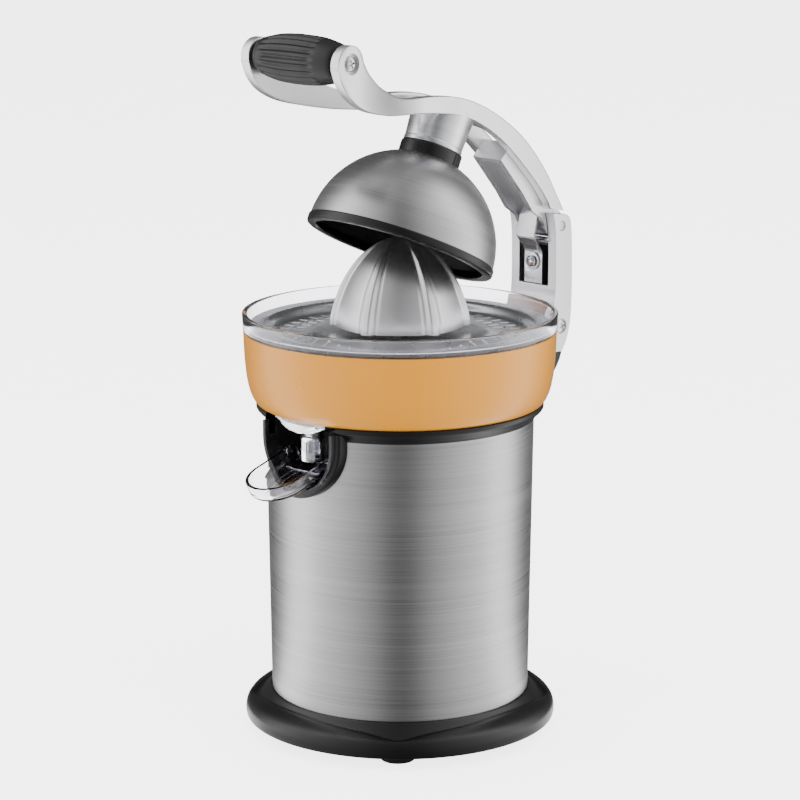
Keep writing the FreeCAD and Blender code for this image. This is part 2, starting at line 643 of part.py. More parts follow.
# ---------------------------------------------------------------- drip spout
def makeSpout():
    """Modelled level about its pivot, then tipped down to the slope at which juice runs."""
    half, wall = spoutHalf, 2.0
    bend = 22.6                 # from the pivot to the centre of the round end

    def scoop(across, back):
        side = across * math.sqrt(0.5)
        return [(-across, back), (-across, -bend), (0, -across - bend, -side, -side - bend),
                (across, -bend, side, -side - bend), (across, back)]

    outer, inner = scoop(half, 5.0), scoop(half - wall, 5.5)
    body = padded("spoutOuter", "XY_Plane", 9.1, [outer], offset=-7.0)
    body.newObject("PartDesign::Fillet", "spoutRound")
    rounding = body.Tip if body.Tip.TypeId == "PartDesign::Fillet" else body.Group[-1]
    doc.recompute()
    pad = next(item for item in body.Group if item.TypeId == "PartDesign::Pad")
    under = [
        f"Edge{number}" for number, edge in enumerate(pad.Shape.Edges, 1)
        if edge.BoundBox.ZMax < -6.9 and edge.BoundBox.YMin < 4.9
    ]
    rounding.Base = (pad, under)
    rounding.Radius = 5.0
    body.Tip = rounding
    pocketed(body, "spoutInner", "XY_Plane", [inner], length=7.4, offset=2.2)
    lip = padded("spoutLip", "XY_Plane", 1.8, [[(-11, 4.9), (11, 4.9), (11, 6.4), (-11, 6.4)]], offset=-7.0)
    pins = [rod("pinLeft", 1.97, 24.4 - 15.5, alongX(-24.4, 0, 0)),
            rod("pinRight", 1.97, 24.4 - 15.5, alongX(15.5, 0, 0))]
    tipped = place(0, spoutPivotY, spoutPivotZ, V(1, 0, 0), spoutSlope.value)
    keep(fuse("dripSpout", [body, lip, *pins]), "drip_spout", tipped)


# ---------------------------------------------------------------- column
def makeColumn():
    half, cheekGap = columnHalf, columnHalf - cheekWall
    seat = 188.9
    bracket = padded("bracket", "YZ_Plane", half * 2, [[
        (64, 112), (73, 112), (79.5, 121, 77.8, 115), (82.5, 150), (106.9, seat, 90.5, 172),
        (92.4, seat), (77.2, 167.6, 81.8, 180.2), (64, 166)]], symmetric=True)
    tongue = padded("tongue", "YZ_Plane", cheekGap * 2 - 0.4, [[
        (99.8, seat - 8), (104, seat - 8), (109, seat), (109, 221.5), (102.4, 221.5), (99.8, seat + 4)]],
        symmetric=True)
    tube = rod("bracketSaddle", tubeHeadRadius + 0.3, 120, place(z=80))
    lip = rod("bracketLip", lipRadius + 0.4, 30, place(z=166.5))
    bolts = [rod(f"bracketBolt{n}", 2.0, 14, alongY(0, 66, level)) for n, level in enumerate((124, 150))]
    sideBore = rod("tongueBore", 2.0, 60, alongX(-30, 106.2, 202.8))
    keep(cut("rearBracket", fuse("bracketBlankBack", [bracket, tongue]), [tube, lip, *bolts, sideBore]),
         "rear_bracket")
    screws = []
    for number, level in enumerate((124, 150)):
        inside = FreeCAD.Placement(V(0, 68.2, level), FreeCAD.Rotation(V(1, 0, 0), 90))
        screws.append(panScrew(f"bracketScrew{number}", 3.8, 2.2, 1.95, 11, inside))
    keep(group("bracketScrews", screws), "bracket_screws")

    topY, topZ = hingeY - 7.3, hingeZ + 7.9
    shell = padded("columnShell", "YZ_Plane", half * 2, [[
        (106.9, seat), (114.3, 226, 112.6, 206.5), (hingeY + 7.2, hingeZ, 114.1, 242),
        (hingeY - 1.9, hingeZ + 6.95, hingeY + 4.4, hingeZ + 5.7), (topY, topZ), (101.1, 252),
        (101.2, 232), (92.3, seat, 98.7, 211)]], symmetric=True)
    openTop = block("columnSlotTop", (-cheekGap, cheekGap), (90, 120), (hingeZ - 9.9, 280))
    openFront = block("columnSlotFront", (-cheekGap, cheekGap), (90, 110.5), (225, hingeZ - 9))
    well = padded("columnWell", "YZ_Plane", cheekGap * 2, [[
        (99.4, seat - 4), (109.3, seat - 4), (109.3, 222), (102.0, 222), (99.4, seat + 5)]], symmetric=True)
    bores = [
        rod("hingeBore", pinRadius + fit, 60, alongX(-30, hingeY, hingeZ)),
        rod("stopBore", 1.3, 26, alongX(-13, 101.5, 250.5)),
        rod("sideBoreLeft", 2.0, 60, alongX(-30, 106.2, 202.8)),
        rod("sideSeatRight", 4.0, 5, alongX(half - 0.9, 106.2, 202.8)),
        rod("sideSeatLeft", 4.0, 5, alongX(-half - 4.1, 106.2, 202.8))]
    keep(cut("column", shell, [openTop, openFront, well, *bores]), "column")

    keep(rod("hingePin", pinRadius, half * 2 - 1.4, alongX(-half + 0.7, hingeY, hingeZ)), "hinge_pin")
    keep(rod("stopPin", 1.25, 25, alongX(-12.5, 101.5, 250.5)), "stop_pin")

    sides = []
    for number, side in enumerate((1, -1)):
        facing = FreeCAD.Placement(V(side * (half.value - 0.9), 106.2, 202.8),
                                   FreeCAD.Rotation(V(0, 1, 0), 90 * side))
        sides.append(panScrew(f"sideScrew{number}", 3.8, 1.5, 1.9, 10, facing))
    keep(group("columnScrews", sides), "column_screws")

    liner = fuse("linerBlank", [
        block("linerBack", (-cheekGap + 0.1, cheekGap - 0.1), (104.5, 110.4), (225.2, 246.4)),
        block("linerPedestal", (-6.4, 6.4), (101.9, 105), (225.2, 243.6))])
    screwLevel = 237.6
    keep(cut("columnLiner", liner, [rod("leafBore", 1.5, 8, alongY(0, 101, screwLevel))]), "column_liner")
    leaf = padded("leaf", "YZ_Plane", 13, [[
        (100.9, 225.2), (101.9, 225.2), (101.9, 244.2), (95.4, 251.3), (98.9, 267.6), (97.9, 267.8),
        (94.3, 251.0), (100.9, 243.8)]], symmetric=True)
    keep(cut("leafSpring", leaf, [rod("leafHole", 1.7, 8, alongY(0, 98, screwLevel))]), "leaf_spring")
    washer = cut("washer", rod("washerDisc", 4.8, 0.9, alongY(0, 100.0, screwLevel)),
                 [rod("washerHole", 1.7, 4, alongY(0, 98, screwLevel))])
    keep(washer, "leaf_washer")
    outward = FreeCAD.Placement(V(0, 100.0, screwLevel), FreeCAD.Rotation(V(1, 0, 0), 90))
    keep(panScrew("leafScrew", 3.1, 1.9, 1.45, 7, outward), "leaf_screw")


# ---------------------------------------------------------------- arm
def armLower():
    """The underside of the arm from its hinge end to the fork, as outline entries."""
    return [
        (95.8, 269.0), (53.8, 312.1, 78.3, 290.9), (10, 326.3, 33.0, 322.2), (-20, 328.3),
        (-66, 339.3, -45.5, 331.9)]


def makeArm():
    boss = bossRadius
    side = [
        (100.0, 268.3), *armLower(), (-75.6, 352.0, -72.5, 345.0), (gripY - boss, gripZ),
        (gripY + boss * 0.94, gripZ + boss * 0.34, gripY + 0.5, gripZ + boss - 0.01),
        (-56.6, 357.2), (-36, 342.9, -47.8, 348.8), (-8, 335.7, -22.4, 337.7), (12, 335.4),
        (57, 321.5, 35.5, 331.2), (107.4, 266.2, 86.2, 297.8), (101.2, 271.2)]
    arm = padded("armSide", "YZ_Plane", 84, [side], symmetric=True)

    # seen from above the two plates run side by side, then part towards the ends of the grip
    half, fork, wall = columnHalf, forkHalf, armWall
    partY, endY = 5.0, -72.0
    midY = (partY + endY) / 2
    midX = (half + fork) * 0.5
    bulge = 2.5
    for name, sign in (("Right", 1), ("Left", -1)):
        def at(x):
            return x if sign > 0 else -asSize(x)
        outside = [
            (at(half), 130), (at(half), partY), (at(midX), midY, at(half + bulge), partY - 19.9),
            (at(fork), endY, at(fork - bulge), endY + 19.9), (at(fork), -95), (at(60), -95), (at(60), 130)]
        pocketed(arm, "armOutside" + name, "XY_Plane", [outside])
    inner = half - wall
    forkGap = [
        (-inner, partY - 3, 0, partY + 5), (-(midX - wall), midY, -(inner + bulge), partY - 21.9),
        (-(fork - wall), endY, -(fork - wall - bulge), endY + 19.9), (-(fork - wall), -95),
        (fork - wall, -95), (fork - wall, endY),
        (midX - wall, midY, fork - wall - bulge, endY + 19.9),
        (inner, partY - 3, inner + bulge, partY - 21.9)]
    rearGap = [(-inner, 52), (inner, 52, 0, 47), (inner, 130), (-inner, 130)]
    pocketed(arm, "armGaps", "XY_Plane", [forkGap, rearGap])
    tools = []
    for sign in (1, -1):
        start = 33.7 if sign > 0 else -45
        tools.append(rod(f"counterbore{sign + 1}", 5.0, 11.3, alongX(start, gripY, gripZ)))
    tools.append(rod("gripScrewBore", 2.1, 90, alongX(-45, gripY, gripZ)))
    keep(cut("armCasting", arm, tools), "arm_casting")

    # the block between the plates carries the hinge bore and is hollow underneath
    hinge = padded("hingeBlock", "YZ_Plane", (inner - 0.1) * 2, [[
        (98.9, 257.9), (hingeY + 6.8, hingeZ, hingeY, hingeZ - 6.8), (110.8, 264.4), (103.8, 269.6),
        (72.6, 305.6, 91.5, 289.3), (64.2, 297.0), (81.5, 277.2), (88.8, 267.2), (96.4, 262.4)]],
        symmetric=True)
    pocket = padded("hingePocket", "YZ_Plane", 15.2, [[
        (58.4, 288.4), (84, 255), (98.7, 257.6), (104.6, 264.6), (102.2, 269.6), (74.0, 301.6, 88.5, 287.2)]],
        symmetric=True)
    bore = rod("knuckleBore", pinRadius + fit, 60, alongX(-30, hingeY, hingeZ))
    keep(cut("hingeBlockCut", hinge, [pocket, bore]), "hinge_block")


def makeGrip():
    half = gripHalf
    grip = turned("gripBarrel", [
        (4.05, -half), (8.2, -half), (9.0, -half + 1.0), (gripRadius, 0, gripRadius - 0.75, -half * 0.5),
        (9.0, half - 1.0, gripRadius - 0.75, half * 0.5), (8.2, half), (4.05, half)])
    count = 20
    grooves = []
    for number, spot in enumerate(ringOfPlaces(count, gripRadius + 0.9, 0.0, -22)):
        grooves.append(rod(f"groove{number}", 1.35, 42, spot))
    turnedAside = FreeCAD.Placement(V(0, gripY.value, gripZ.value), ALONG_X)
    keep(cut("grip", grip, grooves), "grip", turnedAside)
    core = cut("gripCore", rod("gripCoreBar", 4.0, 57.6, place(z=-28.8)),
               [rod("coreBoreA", 2.05, 8, place(z=-29.5)), rod("coreBoreB", 2.05, 8, place(z=21.5))])
    keep(core, "grip_rod", turnedAside)
    ends = []
    for number, side in enumerate((1, -1)):
        facing = FreeCAD.Placement(V(side * 33.7, gripY.value, gripZ.value),
                                   FreeCAD.Rotation(V(0, 1, 0), 90 * side))
        ends.append(panScrew(f"gripScrew{number}", 3.7, 1.7, 1.95, 9, facing))
    keep(group("gripScrews", ends), "grip_screws")


# ---------------------------------------------------------------- press head
def tilted():
    """The place of everything on the dome's axis: its origin is the centre of the dome rim."""
    return place(0, domeY, domeZ, V(1, 0, 0), -domeTilt.value)


def makePress():
    radius = domeRadius
    ringTop, centre, ball = 4.6, 2.8, radius - 0.65
    crown = centre + math.sqrt(ball.value ** 2 - 16.3 ** 2)
    keep(turned("domeRing", [
        (radius - 5.2, 0), (radius - 0.6, 0), (radius, 0.8), (radius, ringTop - 0.5),
        (radius - 0.4, ringTop), (radius - 4.2, ringTop), (radius - 5.2, 1.4)]), "dome_ring", tilted())

    def cap(name, outer, thick, foot, crownRadius, hole):
        """A dome between two spheres, flat at the top within crownRadius."""
        lean = math.asin((foot - centre) / outer)
        top = centre + math.sqrt(outer ** 2 - crownRadius ** 2)
        inside = outer - thick
        innerTop = centre + math.sqrt(inside ** 2 - crownRadius ** 2)
        bend = math.radians(40)
        innerFoot = math.sqrt(inside ** 2 - (foot - centre) ** 2)
        outline = [
            (innerFoot, foot, inside * math.cos(bend), centre + inside * math.sin(bend)),
            (outer * math.cos(lean), foot),
            (crownRadius, top, outer * math.cos(bend), centre + outer * math.sin(bend)), (hole, top),
            (hole, innerTop), (crownRadius, innerTop)]
        return turned(name, outline)

    keep(cap("domeShell", ball.value, 0.8, ringTop, 16.3, 3.2), "press_dome", tilted())
    keep(cap("domeLiner", ball.value - 1.0, 1.6, ringTop, 15.6, 3.2), "dome_liner", tilted())
    keep(turned("collarRing", [(3.2, crown), (16.4, crown), (16.4, crown + 6.2), (15.9, crown + 6.8),
                               (3.2, crown + 6.8)]), "neck_collar", tilted())
    foot = crown + 6.8
    neck = turned("neck", [
        (3.0, foot), (neckRadius + 0.1, foot), (neckRadius + 0.1, foot + 2.4), (neckRadius - 0.15, foot + 2.8),
        (neckRadius + 1.5, foot + 42), (3.0, foot + 42)])
    neck.Placement = tilted()
    above = padded("aboveArm", "YZ_Plane", 60, [[(120, 269.0), *armLower(), (-66, 420), (120, 420)]],
                   symmetric=True)
    keep(cut("pressNeck", neck, [above]), "press_neck")
    innerCrown = centre + math.sqrt((ball.value - 2.6) ** 2 - 15.6 ** 2)
    bolt = fuse("boltBlank", [
        rod("boltHead", 5.5, 3.5, place(z=innerCrown - 3.5)),
        rod("boltShank", 2.95, foot + 8 - innerCrown, place(z=innerCrown))])
    keep(bolt, "dome_bolt", tilted())


makeBase()
makeHousing()
makeBowl()
makeReamer()
idlerAt, motorAt, _ = makeGears()
makeMotor(idlerAt, motorAt)
makeSpout()
makeColumn()
makeArm()
makeGrip()
makePress()
doc.recompute()

# ---------------------------------------------------------------- checks and files
for piece in pieces:
    piece.Placement = place(y=-size("axisShift")).multiply(piece.Placement)
doc.recompute()
troubles = [
    f"{item.Name} ({item.Label}): {item.State}" for item in doc.Objects
    if "Invalid" in item.State or "Error" in item.State
]
for piece in pieces:
    if piece.Shape.isNull() or not piece.Shape.isValid() or not piece.Shape.Solids:
        troubles.append(f"{piece.Label}: bad shape")
if troubles:
    raise SystemExit("\n".join(troubles))
for piece in pieces:
    piece.Shape.exportStep(os.path.join("parts", piece.Label + ".step"))
    box = piece.Shape.BoundBox
    print(f"{piece.Label:18s} solids {len(piece.Shape.Solids):2d}  volume {piece.Shape.Volume:10.1f}"
          f"  z {box.ZMin:6.1f} to {box.ZMax:6.1f}")
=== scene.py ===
import math
import bpy
import bmesh
import numpy as np
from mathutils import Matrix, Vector


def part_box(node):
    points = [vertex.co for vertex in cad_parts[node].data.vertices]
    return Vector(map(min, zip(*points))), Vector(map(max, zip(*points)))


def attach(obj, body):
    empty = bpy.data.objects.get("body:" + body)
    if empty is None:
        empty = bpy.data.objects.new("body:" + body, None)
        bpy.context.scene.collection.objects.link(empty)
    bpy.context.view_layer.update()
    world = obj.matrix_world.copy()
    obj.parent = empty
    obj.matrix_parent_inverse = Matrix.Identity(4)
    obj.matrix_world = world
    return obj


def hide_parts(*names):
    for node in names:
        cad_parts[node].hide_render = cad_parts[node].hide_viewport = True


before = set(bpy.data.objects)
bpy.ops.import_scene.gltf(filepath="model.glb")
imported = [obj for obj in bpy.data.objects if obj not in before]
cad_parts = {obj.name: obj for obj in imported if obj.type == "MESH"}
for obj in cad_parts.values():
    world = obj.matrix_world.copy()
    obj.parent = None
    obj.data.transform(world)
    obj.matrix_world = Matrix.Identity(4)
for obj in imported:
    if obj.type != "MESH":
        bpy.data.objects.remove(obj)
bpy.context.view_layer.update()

shaftLow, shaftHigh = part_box("drive_shaft")
axisY = (shaftLow.y + shaftHigh.y) / 2        # the housing's axis in the frame, metres
shown = []                                    # CAD nodes that a new piece stands for


# places and curves: every shape below is in millimetres round the housing's axis
def toFrame(points):
    out = np.array(points, float) * 0.001
    out[..., 1] += axisY
    return out


def smoothLine(points, count, closed=False):
    # A Catmull-Rom curve through the points, count samples evenly spaced by knot length.
    p = np.asarray(points, float)
    if closed:
        p = np.vstack([p[-1:], p, p[:2]])
    else:
        p = np.vstack([2 * p[0] - p[1], p, 2 * p[-1] - p[-2]])
    gap = np.sqrt(np.linalg.norm(np.diff(p, axis=0), axis=1)) + 1e-9
    knot = np.concatenate([[0], np.cumsum(gap)])
    t = np.linspace(knot[1], knot[-2], count, endpoint=not closed)
    i = np.clip(np.searchsorted(knot, t, side="right") - 1, 1, len(p) - 3)
    t0, t1, t2, t3 = (knot[i + k][:, None] for k in (-1, 0, 1, 2))
    p0, p1, p2, p3 = (p[i + k] for k in (-1, 0, 1, 2))
    t = t[:, None]
    a1 = (t1 - t) / (t1 - t0) * p0 + (t - t0) / (t1 - t0) * p1
    a2 = (t2 - t) / (t2 - t1) * p1 + (t - t1) / (t2 - t1) * p2
    a3 = (t3 - t) / (t3 - t2) * p2 + (t - t2) / (t3 - t2) * p3
    b1 = (t2 - t) / (t2 - t0) * a1 + (t - t0) / (t2 - t0) * a2
    b2 = (t3 - t) / (t3 - t1) * a2 + (t - t1) / (t3 - t1) * a3
    return (t2 - t) / (t2 - t1) * b1 + (t - t1) / (t2 - t1) * b2


def softLoop(corners, radii, bends=4):
    # A closed outline with its corners rounded: at each corner a parabola touches both edges at the
    # corner's radius from it. corners is (..., corner, 2), so that a whole family is rounded at once.
    c = np.asarray(corners, float)
    r = np.broadcast_to(np.asarray(radii, float), c.shape[:-1])[..., None]
    before, after = np.roll(c, 1, axis=-2) - c, np.roll(c, -1, axis=-2) - c
    lengthB = np.linalg.norm(before, axis=-1, keepdims=True) + 1e-9
    lengthA = np.linalg.norm(after, axis=-1, keepdims=True) + 1e-9
    start = c + before / lengthB * np.minimum(r, lengthB * 0.45)
    end = c + after / lengthA * np.minimum(r, lengthA * 0.45)
    t = np.linspace(0, 1, bends + 1)[:, None]
    bend = ((1 - t) ** 2 * start[..., None, :] + 2 * t * (1 - t) * c[..., None, :]
            + t ** 2 * end[..., None, :])
    return bend.reshape(*c.shape[:-2], -1, 2)


def smoothStep(t):
    t = np.clip(t, 0, 1)
    return t * t * (3 - 2 * t)


# grids to meshes
def buildMesh(name, parts, sharp=38):
    # parts are (points, faces) in millimetres round the axis. Seams and poles are merged and the
    # faces are turned outwards.
    verts, faces, start = [], [], 0
    for points, quads in parts:
        verts.append(toFrame(points))
        faces += [tuple(int(k) + start for k in face) for face in quads]
        start += len(points)
    mesh = bpy.data.meshes.new(name)
    mesh.from_pydata(np.vstack(verts).tolist(), [], faces)
    work = bmesh.new()
    work.from_mesh(mesh)
    bmesh.ops.remove_doubles(work, verts=work.verts, dist=1e-6)
    bmesh.ops.dissolve_degenerate(work, edges=work.edges, dist=1e-7)
    bmesh.ops.recalc_face_normals(work, faces=work.faces)
    work.to_mesh(mesh)
    work.free()
    mesh.polygons.foreach_set("use_smooth", np.ones(len(mesh.polygons), bool))
    mesh.set_sharp_from_angle(angle=math.radians(sharp))
    piece = bpy.data.objects.new(name, mesh)
    bpy.context.scene.collection.objects.link(piece)
    return piece


def gridPart(grid, wrap=(True, True)):
    # Quads between neighbours of a (rows, columns, 3) grid, joined round each direction that wraps.
    rows, cols = grid.shape[:2]
    index = np.arange(rows * cols).reshape(rows, cols)
    nextRow, nextCol = np.roll(index, -1, 0), np.roll(index, -1, 1)
    both = np.roll(nextRow, -1, 1)
    quads = np.stack([index, nextCol, both, nextRow], axis=-1)
    if not wrap[0]:
        quads = quads[:-1]
    if not wrap[1]:
        quads = quads[:, :-1]
    return grid.reshape(-1, 3), quads.reshape(-1, 4)


def cappedPart(grid):
    # Loops carried along a path, each end closed by drawing its loop in to its middle.
    first = np.broadcast_to(grid[:1].mean(axis=1, keepdims=True), grid[:1].shape)
    last = np.broadcast_to(grid[-1:].mean(axis=1, keepdims=True), grid[-1:].shape)
    return gridPart(np.concatenate([first, grid, last]), (False, True))


def lathePart(profile, steps=160, centre=(0, 0, 0), tilt=None, shape=None):
    # A profile of (radius, height) turned about Z: x = r cos a, y = r sin a, z = height. shape may
    # change the radius and height by angle before they are turned.
    profile = np.asarray(profile, float)
    angle = np.linspace(0, 2 * math.pi, steps, endpoint=False)[:, None]
    radius = np.broadcast_to(profile[..., 0], (steps, profile.shape[-2]))
    height = np.broadcast_to(profile[..., 1], radius.shape)
    if shape:
        radius, height = shape(angle, radius, height)
    grid = np.stack([radius * np.cos(angle), radius * np.sin(angle), height], axis=-1)
    if tilt is not None:
        grid = grid @ np.array(tilt).T
    grid = grid + np.array(centre, float)
    return gridPart(grid)


def prismPart(outline, low, high, along=0):
    # A flat outline carried straight from low to high along X (0) or Y (1).
    flat = np.asarray(outline, float)
    ends = []
    for level in (low, high):
        ends.append(np.insert(flat, along, level, axis=1))
    count = len(flat)
    points, quads = gridPart(np.stack(ends), (False, True))
    caps = [list(range(count)), list(range(2 * count - 1, count - 1, -1))]
    return points, [tuple(q) for q in quads] + caps


def applied(piece):
    # The piece with its modifiers worked into its mesh.
    bpy.context.view_layer.update()
    shape = bpy.data.meshes.new_from_object(
        piece.evaluated_get(bpy.context.evaluated_depsgraph_get()))
    old = piece.data
    piece.modifiers.clear()
    piece.data = shape
    bpy.data.meshes.remove(old)
    return piece


def carved(piece, tools):
    # The piece less each tool, which is then removed.
    for tool in tools:
        step = piece.modifiers.new("carve", "BOOLEAN")
        step.operation, step.object, step.solver = "DIFFERENCE", tool, "EXACT"
        applied(piece)
    for tool in tools:
        bpy.data.objects.remove(tool)
    return piece


def softened(piece, width, segments=2, limit=40):
    # Every edge sharper than limit is rounded by width millimetres.
    edge = piece.modifiers.new("soften", "BEVEL")
    edge.width, edge.segments = width * 0.001, segments
    edge.limit_method, edge.angle_limit = "ANGLE", math.radians(limit)
    edge.harden_normals = True
    edge.use_clamp_overlap = True
    applied(piece)
    piece.data.polygons.foreach_set("use_smooth", np.ones(len(piece.data.polygons), bool))
    return piece


def sharpened(piece, degrees, smooth=False):
    # Edges that bend by more than the angle are drawn sharp again.
    if smooth:
        piece.data.polygons.foreach_set("use_smooth", np.ones(len(piece.data.polygons), bool))
    piece.data.set_sharp_from_angle(angle=math.radians(degrees))


def settle(piece, body, material, slotName, *nodes):
    # Gives a finished piece its finish, its body and the CAD nodes that it stands for.
    piece.data.materials.clear()
    piece.data.materials.append(material)
    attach(piece, body)
    if nodes:
        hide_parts(*nodes)
        shown.extend(nodes)
    return piece


def turnedPiece(name, node, body, material, profile, steps, sharp=40, **where):
    # A whole piece made by turning one profile.
    part = lathePart(profile, steps, **where)
    return settle(buildMesh(name, [part], sharp), body, material, node, node)


# materials
def linear(hexColour):
    # sRGB hex to the linear colour that a shader takes.
    part = np.array([int(hexColour[k:k + 2], 16) for k in (1, 3, 5)]) / 255
    part = np.where(part <= 0.04045, part / 12.92, ((part + 0.055) / 1.055) ** 2.4)
    return (*part, 1.0)


def addNode(tree, kind, settings=None, inputs=None):
    # One node: settings are its properties, inputs are numbers, or the output sockets to link.
    node = tree.nodes.new(kind)
    for name, value in (settings or {}).items():
        setattr(node, name, value)
    for name, value in (inputs or {}).items():
        if isinstance(value, bpy.types.NodeSocket):
            tree.links.new(value, node.inputs[name])
        else:
            node.inputs[name].default_value = value
    return node


def newFinish(name, shader):
    # A material with one Principled shader set from the dictionary.
    finish = bpy.data.materials.new(name)
    finish.use_nodes = True
    tree = finish.node_tree
    tree.nodes.clear()
    surface = addNode(tree, "ShaderNodeBsdfPrincipled", None, shader)
    out = addNode(tree, "ShaderNodeOutputMaterial")
    tree.links.new(surface.outputs[0], out.inputs[0])
    finish.diffuse_color = shader.get("Base Color", (0.5, 0.5, 0.5, 1))
    return finish, tree, surface


def pattern(tree, scale, turn=(0, 0, 0), shift=(0, 0, 0)):
    # Object coordinates in metres, turned and then stretched by scale per direction.
    place = addNode(tree, "ShaderNodeTexCoord")
    turned = addNode(tree, "ShaderNodeMapping", {"vector_type": "POINT"},
                     {"Vector": place.outputs["Object"], "Rotation": turn, "Location": shift})
    return addNode(tree, "ShaderNodeMapping", {"vector_type": "POINT"},
                   {"Vector": turned.outputs[0], "Scale": scale}).outputs[0]


def ramped(tree, value, low, high, start=0.0, end=1.0):
    return addNode(tree, "ShaderNodeMapRange", None, {
        "Value": value, "From Min": start, "From Max": end, "To Min": low, "To Max": high}).outputs[0]


def brushed(name, shade, scale, turn, roughness, depth):
    # Stainless sheet brushed one way: fine scratches, drawn 0.4 mm apart so that they show, with
    # broader faint bands between them. They stretch highlights and break up the grey.
    finish, tree, surface = newFinish(name, {"Metallic": 1.0, "Roughness": roughness[0]})
    fine = addNode(tree, "ShaderNodeTexNoise", None, {
        "Vector": pattern(tree, scale, turn), "Scale": 1.0, "Detail": 3.0, "Roughness": 0.7})
    wide = addNode(tree, "ShaderNodeTexNoise", None, {
        "Vector": pattern(tree, tuple(s * 0.13 for s in scale), turn, (0.3, 0.1, 0.2)),
        "Scale": 1.0, "Detail": 2.0})
    mixed = addNode(tree, "ShaderNodeMath", {"operation": "MULTIPLY_ADD"}, {
        0: wide.outputs[0], 1: 0.45, 2: fine.outputs[0]})
    colour = addNode(tree, "ShaderNodeMix", {"data_type": "RGBA"}, {
        "Factor": ramped(tree, mixed.outputs[0], 0.0, 1.0, 0.5, 0.95)})
    colour.inputs[6].default_value = linear(shade[0])
    colour.inputs[7].default_value = linear(shade[1])
    tree.links.new(colour.outputs[2], surface.inputs["Base Color"])
    rough = ramped(tree, mixed.outputs[0], roughness[0], roughness[1], 0.4, 1.0)
    tree.links.new(rough, surface.inputs["Roughness"])
    bump = addNode(tree, "ShaderNodeBump", None, {
        "Height": mixed.outputs[0], "Strength": 0.35, "Distance": depth})
    tree.links.new(bump.outputs[0], surface.inputs["Normal"])
    return finish


def grained(name, shader, grain, depth, spread=(0.0, 0.0), strength=0.5):
    # A moulded, cast or blasted surface: even grain of the given size in metres, and a roughness
    # that wanders slowly, as handling and flow leave it.
    finish, tree, surface = newFinish(name, shader)
    speck = addNode(tree, "ShaderNodeTexNoise", None, {
        "Vector": pattern(tree, (1 / grain,) * 3), "Scale": 1.0, "Detail": 2.0})
    bump = addNode(tree, "ShaderNodeBump", None, {
        "Height": speck.outputs[0], "Strength": strength, "Distance": depth})
    tree.links.new(bump.outputs[0], surface.inputs["Normal"])
    if spread[1]:
        cloud = addNode(tree, "ShaderNodeTexNoise", None, {
            "Vector": pattern(tree, (45, 45, 45)), "Scale": 1.0, "Detail": 4.0})
        wander = ramped(tree, cloud.outputs[0], spread[0], spread[1], 0.3, 0.7)
        tree.links.new(wander, surface.inputs["Roughness"])
    return finish


print("materials")
# brushed 304 stainless tube: scratches run level round it, so highlights stand as soft upright bands
housingSteel = brushed("StainlessSteelBrushedRound", ("#A8A8A9", "#C2C2C3"), (9, 9, 2600),
                       (0, 0, 0), (0.24, 0.36), 0.00004)
# spun stainless dome: brushed round its own leaning axis
domeSteel = brushed("StainlessSteelSpunBrushed", ("#A8A8A9", "#C2C2C3"), (12, 12, 2200),
                    (math.radians(25), 0, 0), (0.3, 0.4), 0.00004)
# pressed stainless strainer and reamer: satin, lightly brushed lengthwise
reamerSteel = grained("StainlessSteelSatinReamer", {
    "Base Color": linear("#DCDCDE"), "Metallic": 1.0, "Roughness": 0.4}, 0.0012, 0.000004, (0.36, 0.44), 0.2)
strainerSteel = grained("StainlessSteelPressed", {
    "Base Color": linear("#C8C9CB"), "Metallic": 1.0, "Roughness": 0.28}, 0.0006, 0.00002, (0.22, 0.34))
# cast aluminium, bead blasted and clear anodised: pale, satin, with a very fine even grain
satinAluminium = grained("AluminiumCastSatin", {
    "Base Color": linear("#EDEDEF"), "Metallic": 1.0, "Roughness": 0.36}, 0.0004, 0.00003, (0.32, 0.42))
turnedAluminium = brushed("AluminiumTurnedSatin", ("#D4D5D8", "#EDEEF0"), (10, 10, 2400),
                          (math.radians(25), 0, 0), (0.24, 0.34), 0.00002)
# plated screws, pins and the spring leaf: bright, slightly worn
brightSteel = grained("SteelPlatedBright", {
    "Base Color": linear("#D2D3D6"), "Metallic": 1.0, "Roughness": 0.2}, 0.0008, 0.00002, (0.14, 0.28))
# injection moulded ABS, polished mould: deep black with a clear reflection
glossBlack = grained("ABSMouldedGlossBlack", {
    "Base Color": linear("#060607"), "Roughness": 0.34, "IOR": 1.48},
    0.0022, 0.00003, (0.28, 0.4), 0.25)
# nylon and PP mouldings from a spark-eroded mould: dull black with fine grain
dullBlack = grained("NylonMouldedGrainedBlack", {
    "Base Color": linear("#151517"), "Roughness": 0.5, "IOR": 1.5}, 0.0005, 0.00005, (0.42, 0.58))
# moulded TPE: soft black, broad dull highlight
softRubber = grained("RubberTPEMoulded", {
    "Base Color": linear("#0B0B0C"), "Roughness": 0.45, "IOR": 1.5}, 0.0007, 0.00005, (0.38, 0.5))
# injection moulded SAN: clear, faintly violet-grey, with polished faces
clearPlastic = grained("SANMouldedClear", {
    "Base Color": linear("#F1F1F8"), "Roughness": 0.03, "IOR": 1.49,
    "Transmission Weight": 1.0}, 0.004, 0.00003, (0.0, 0.0), 0.2)
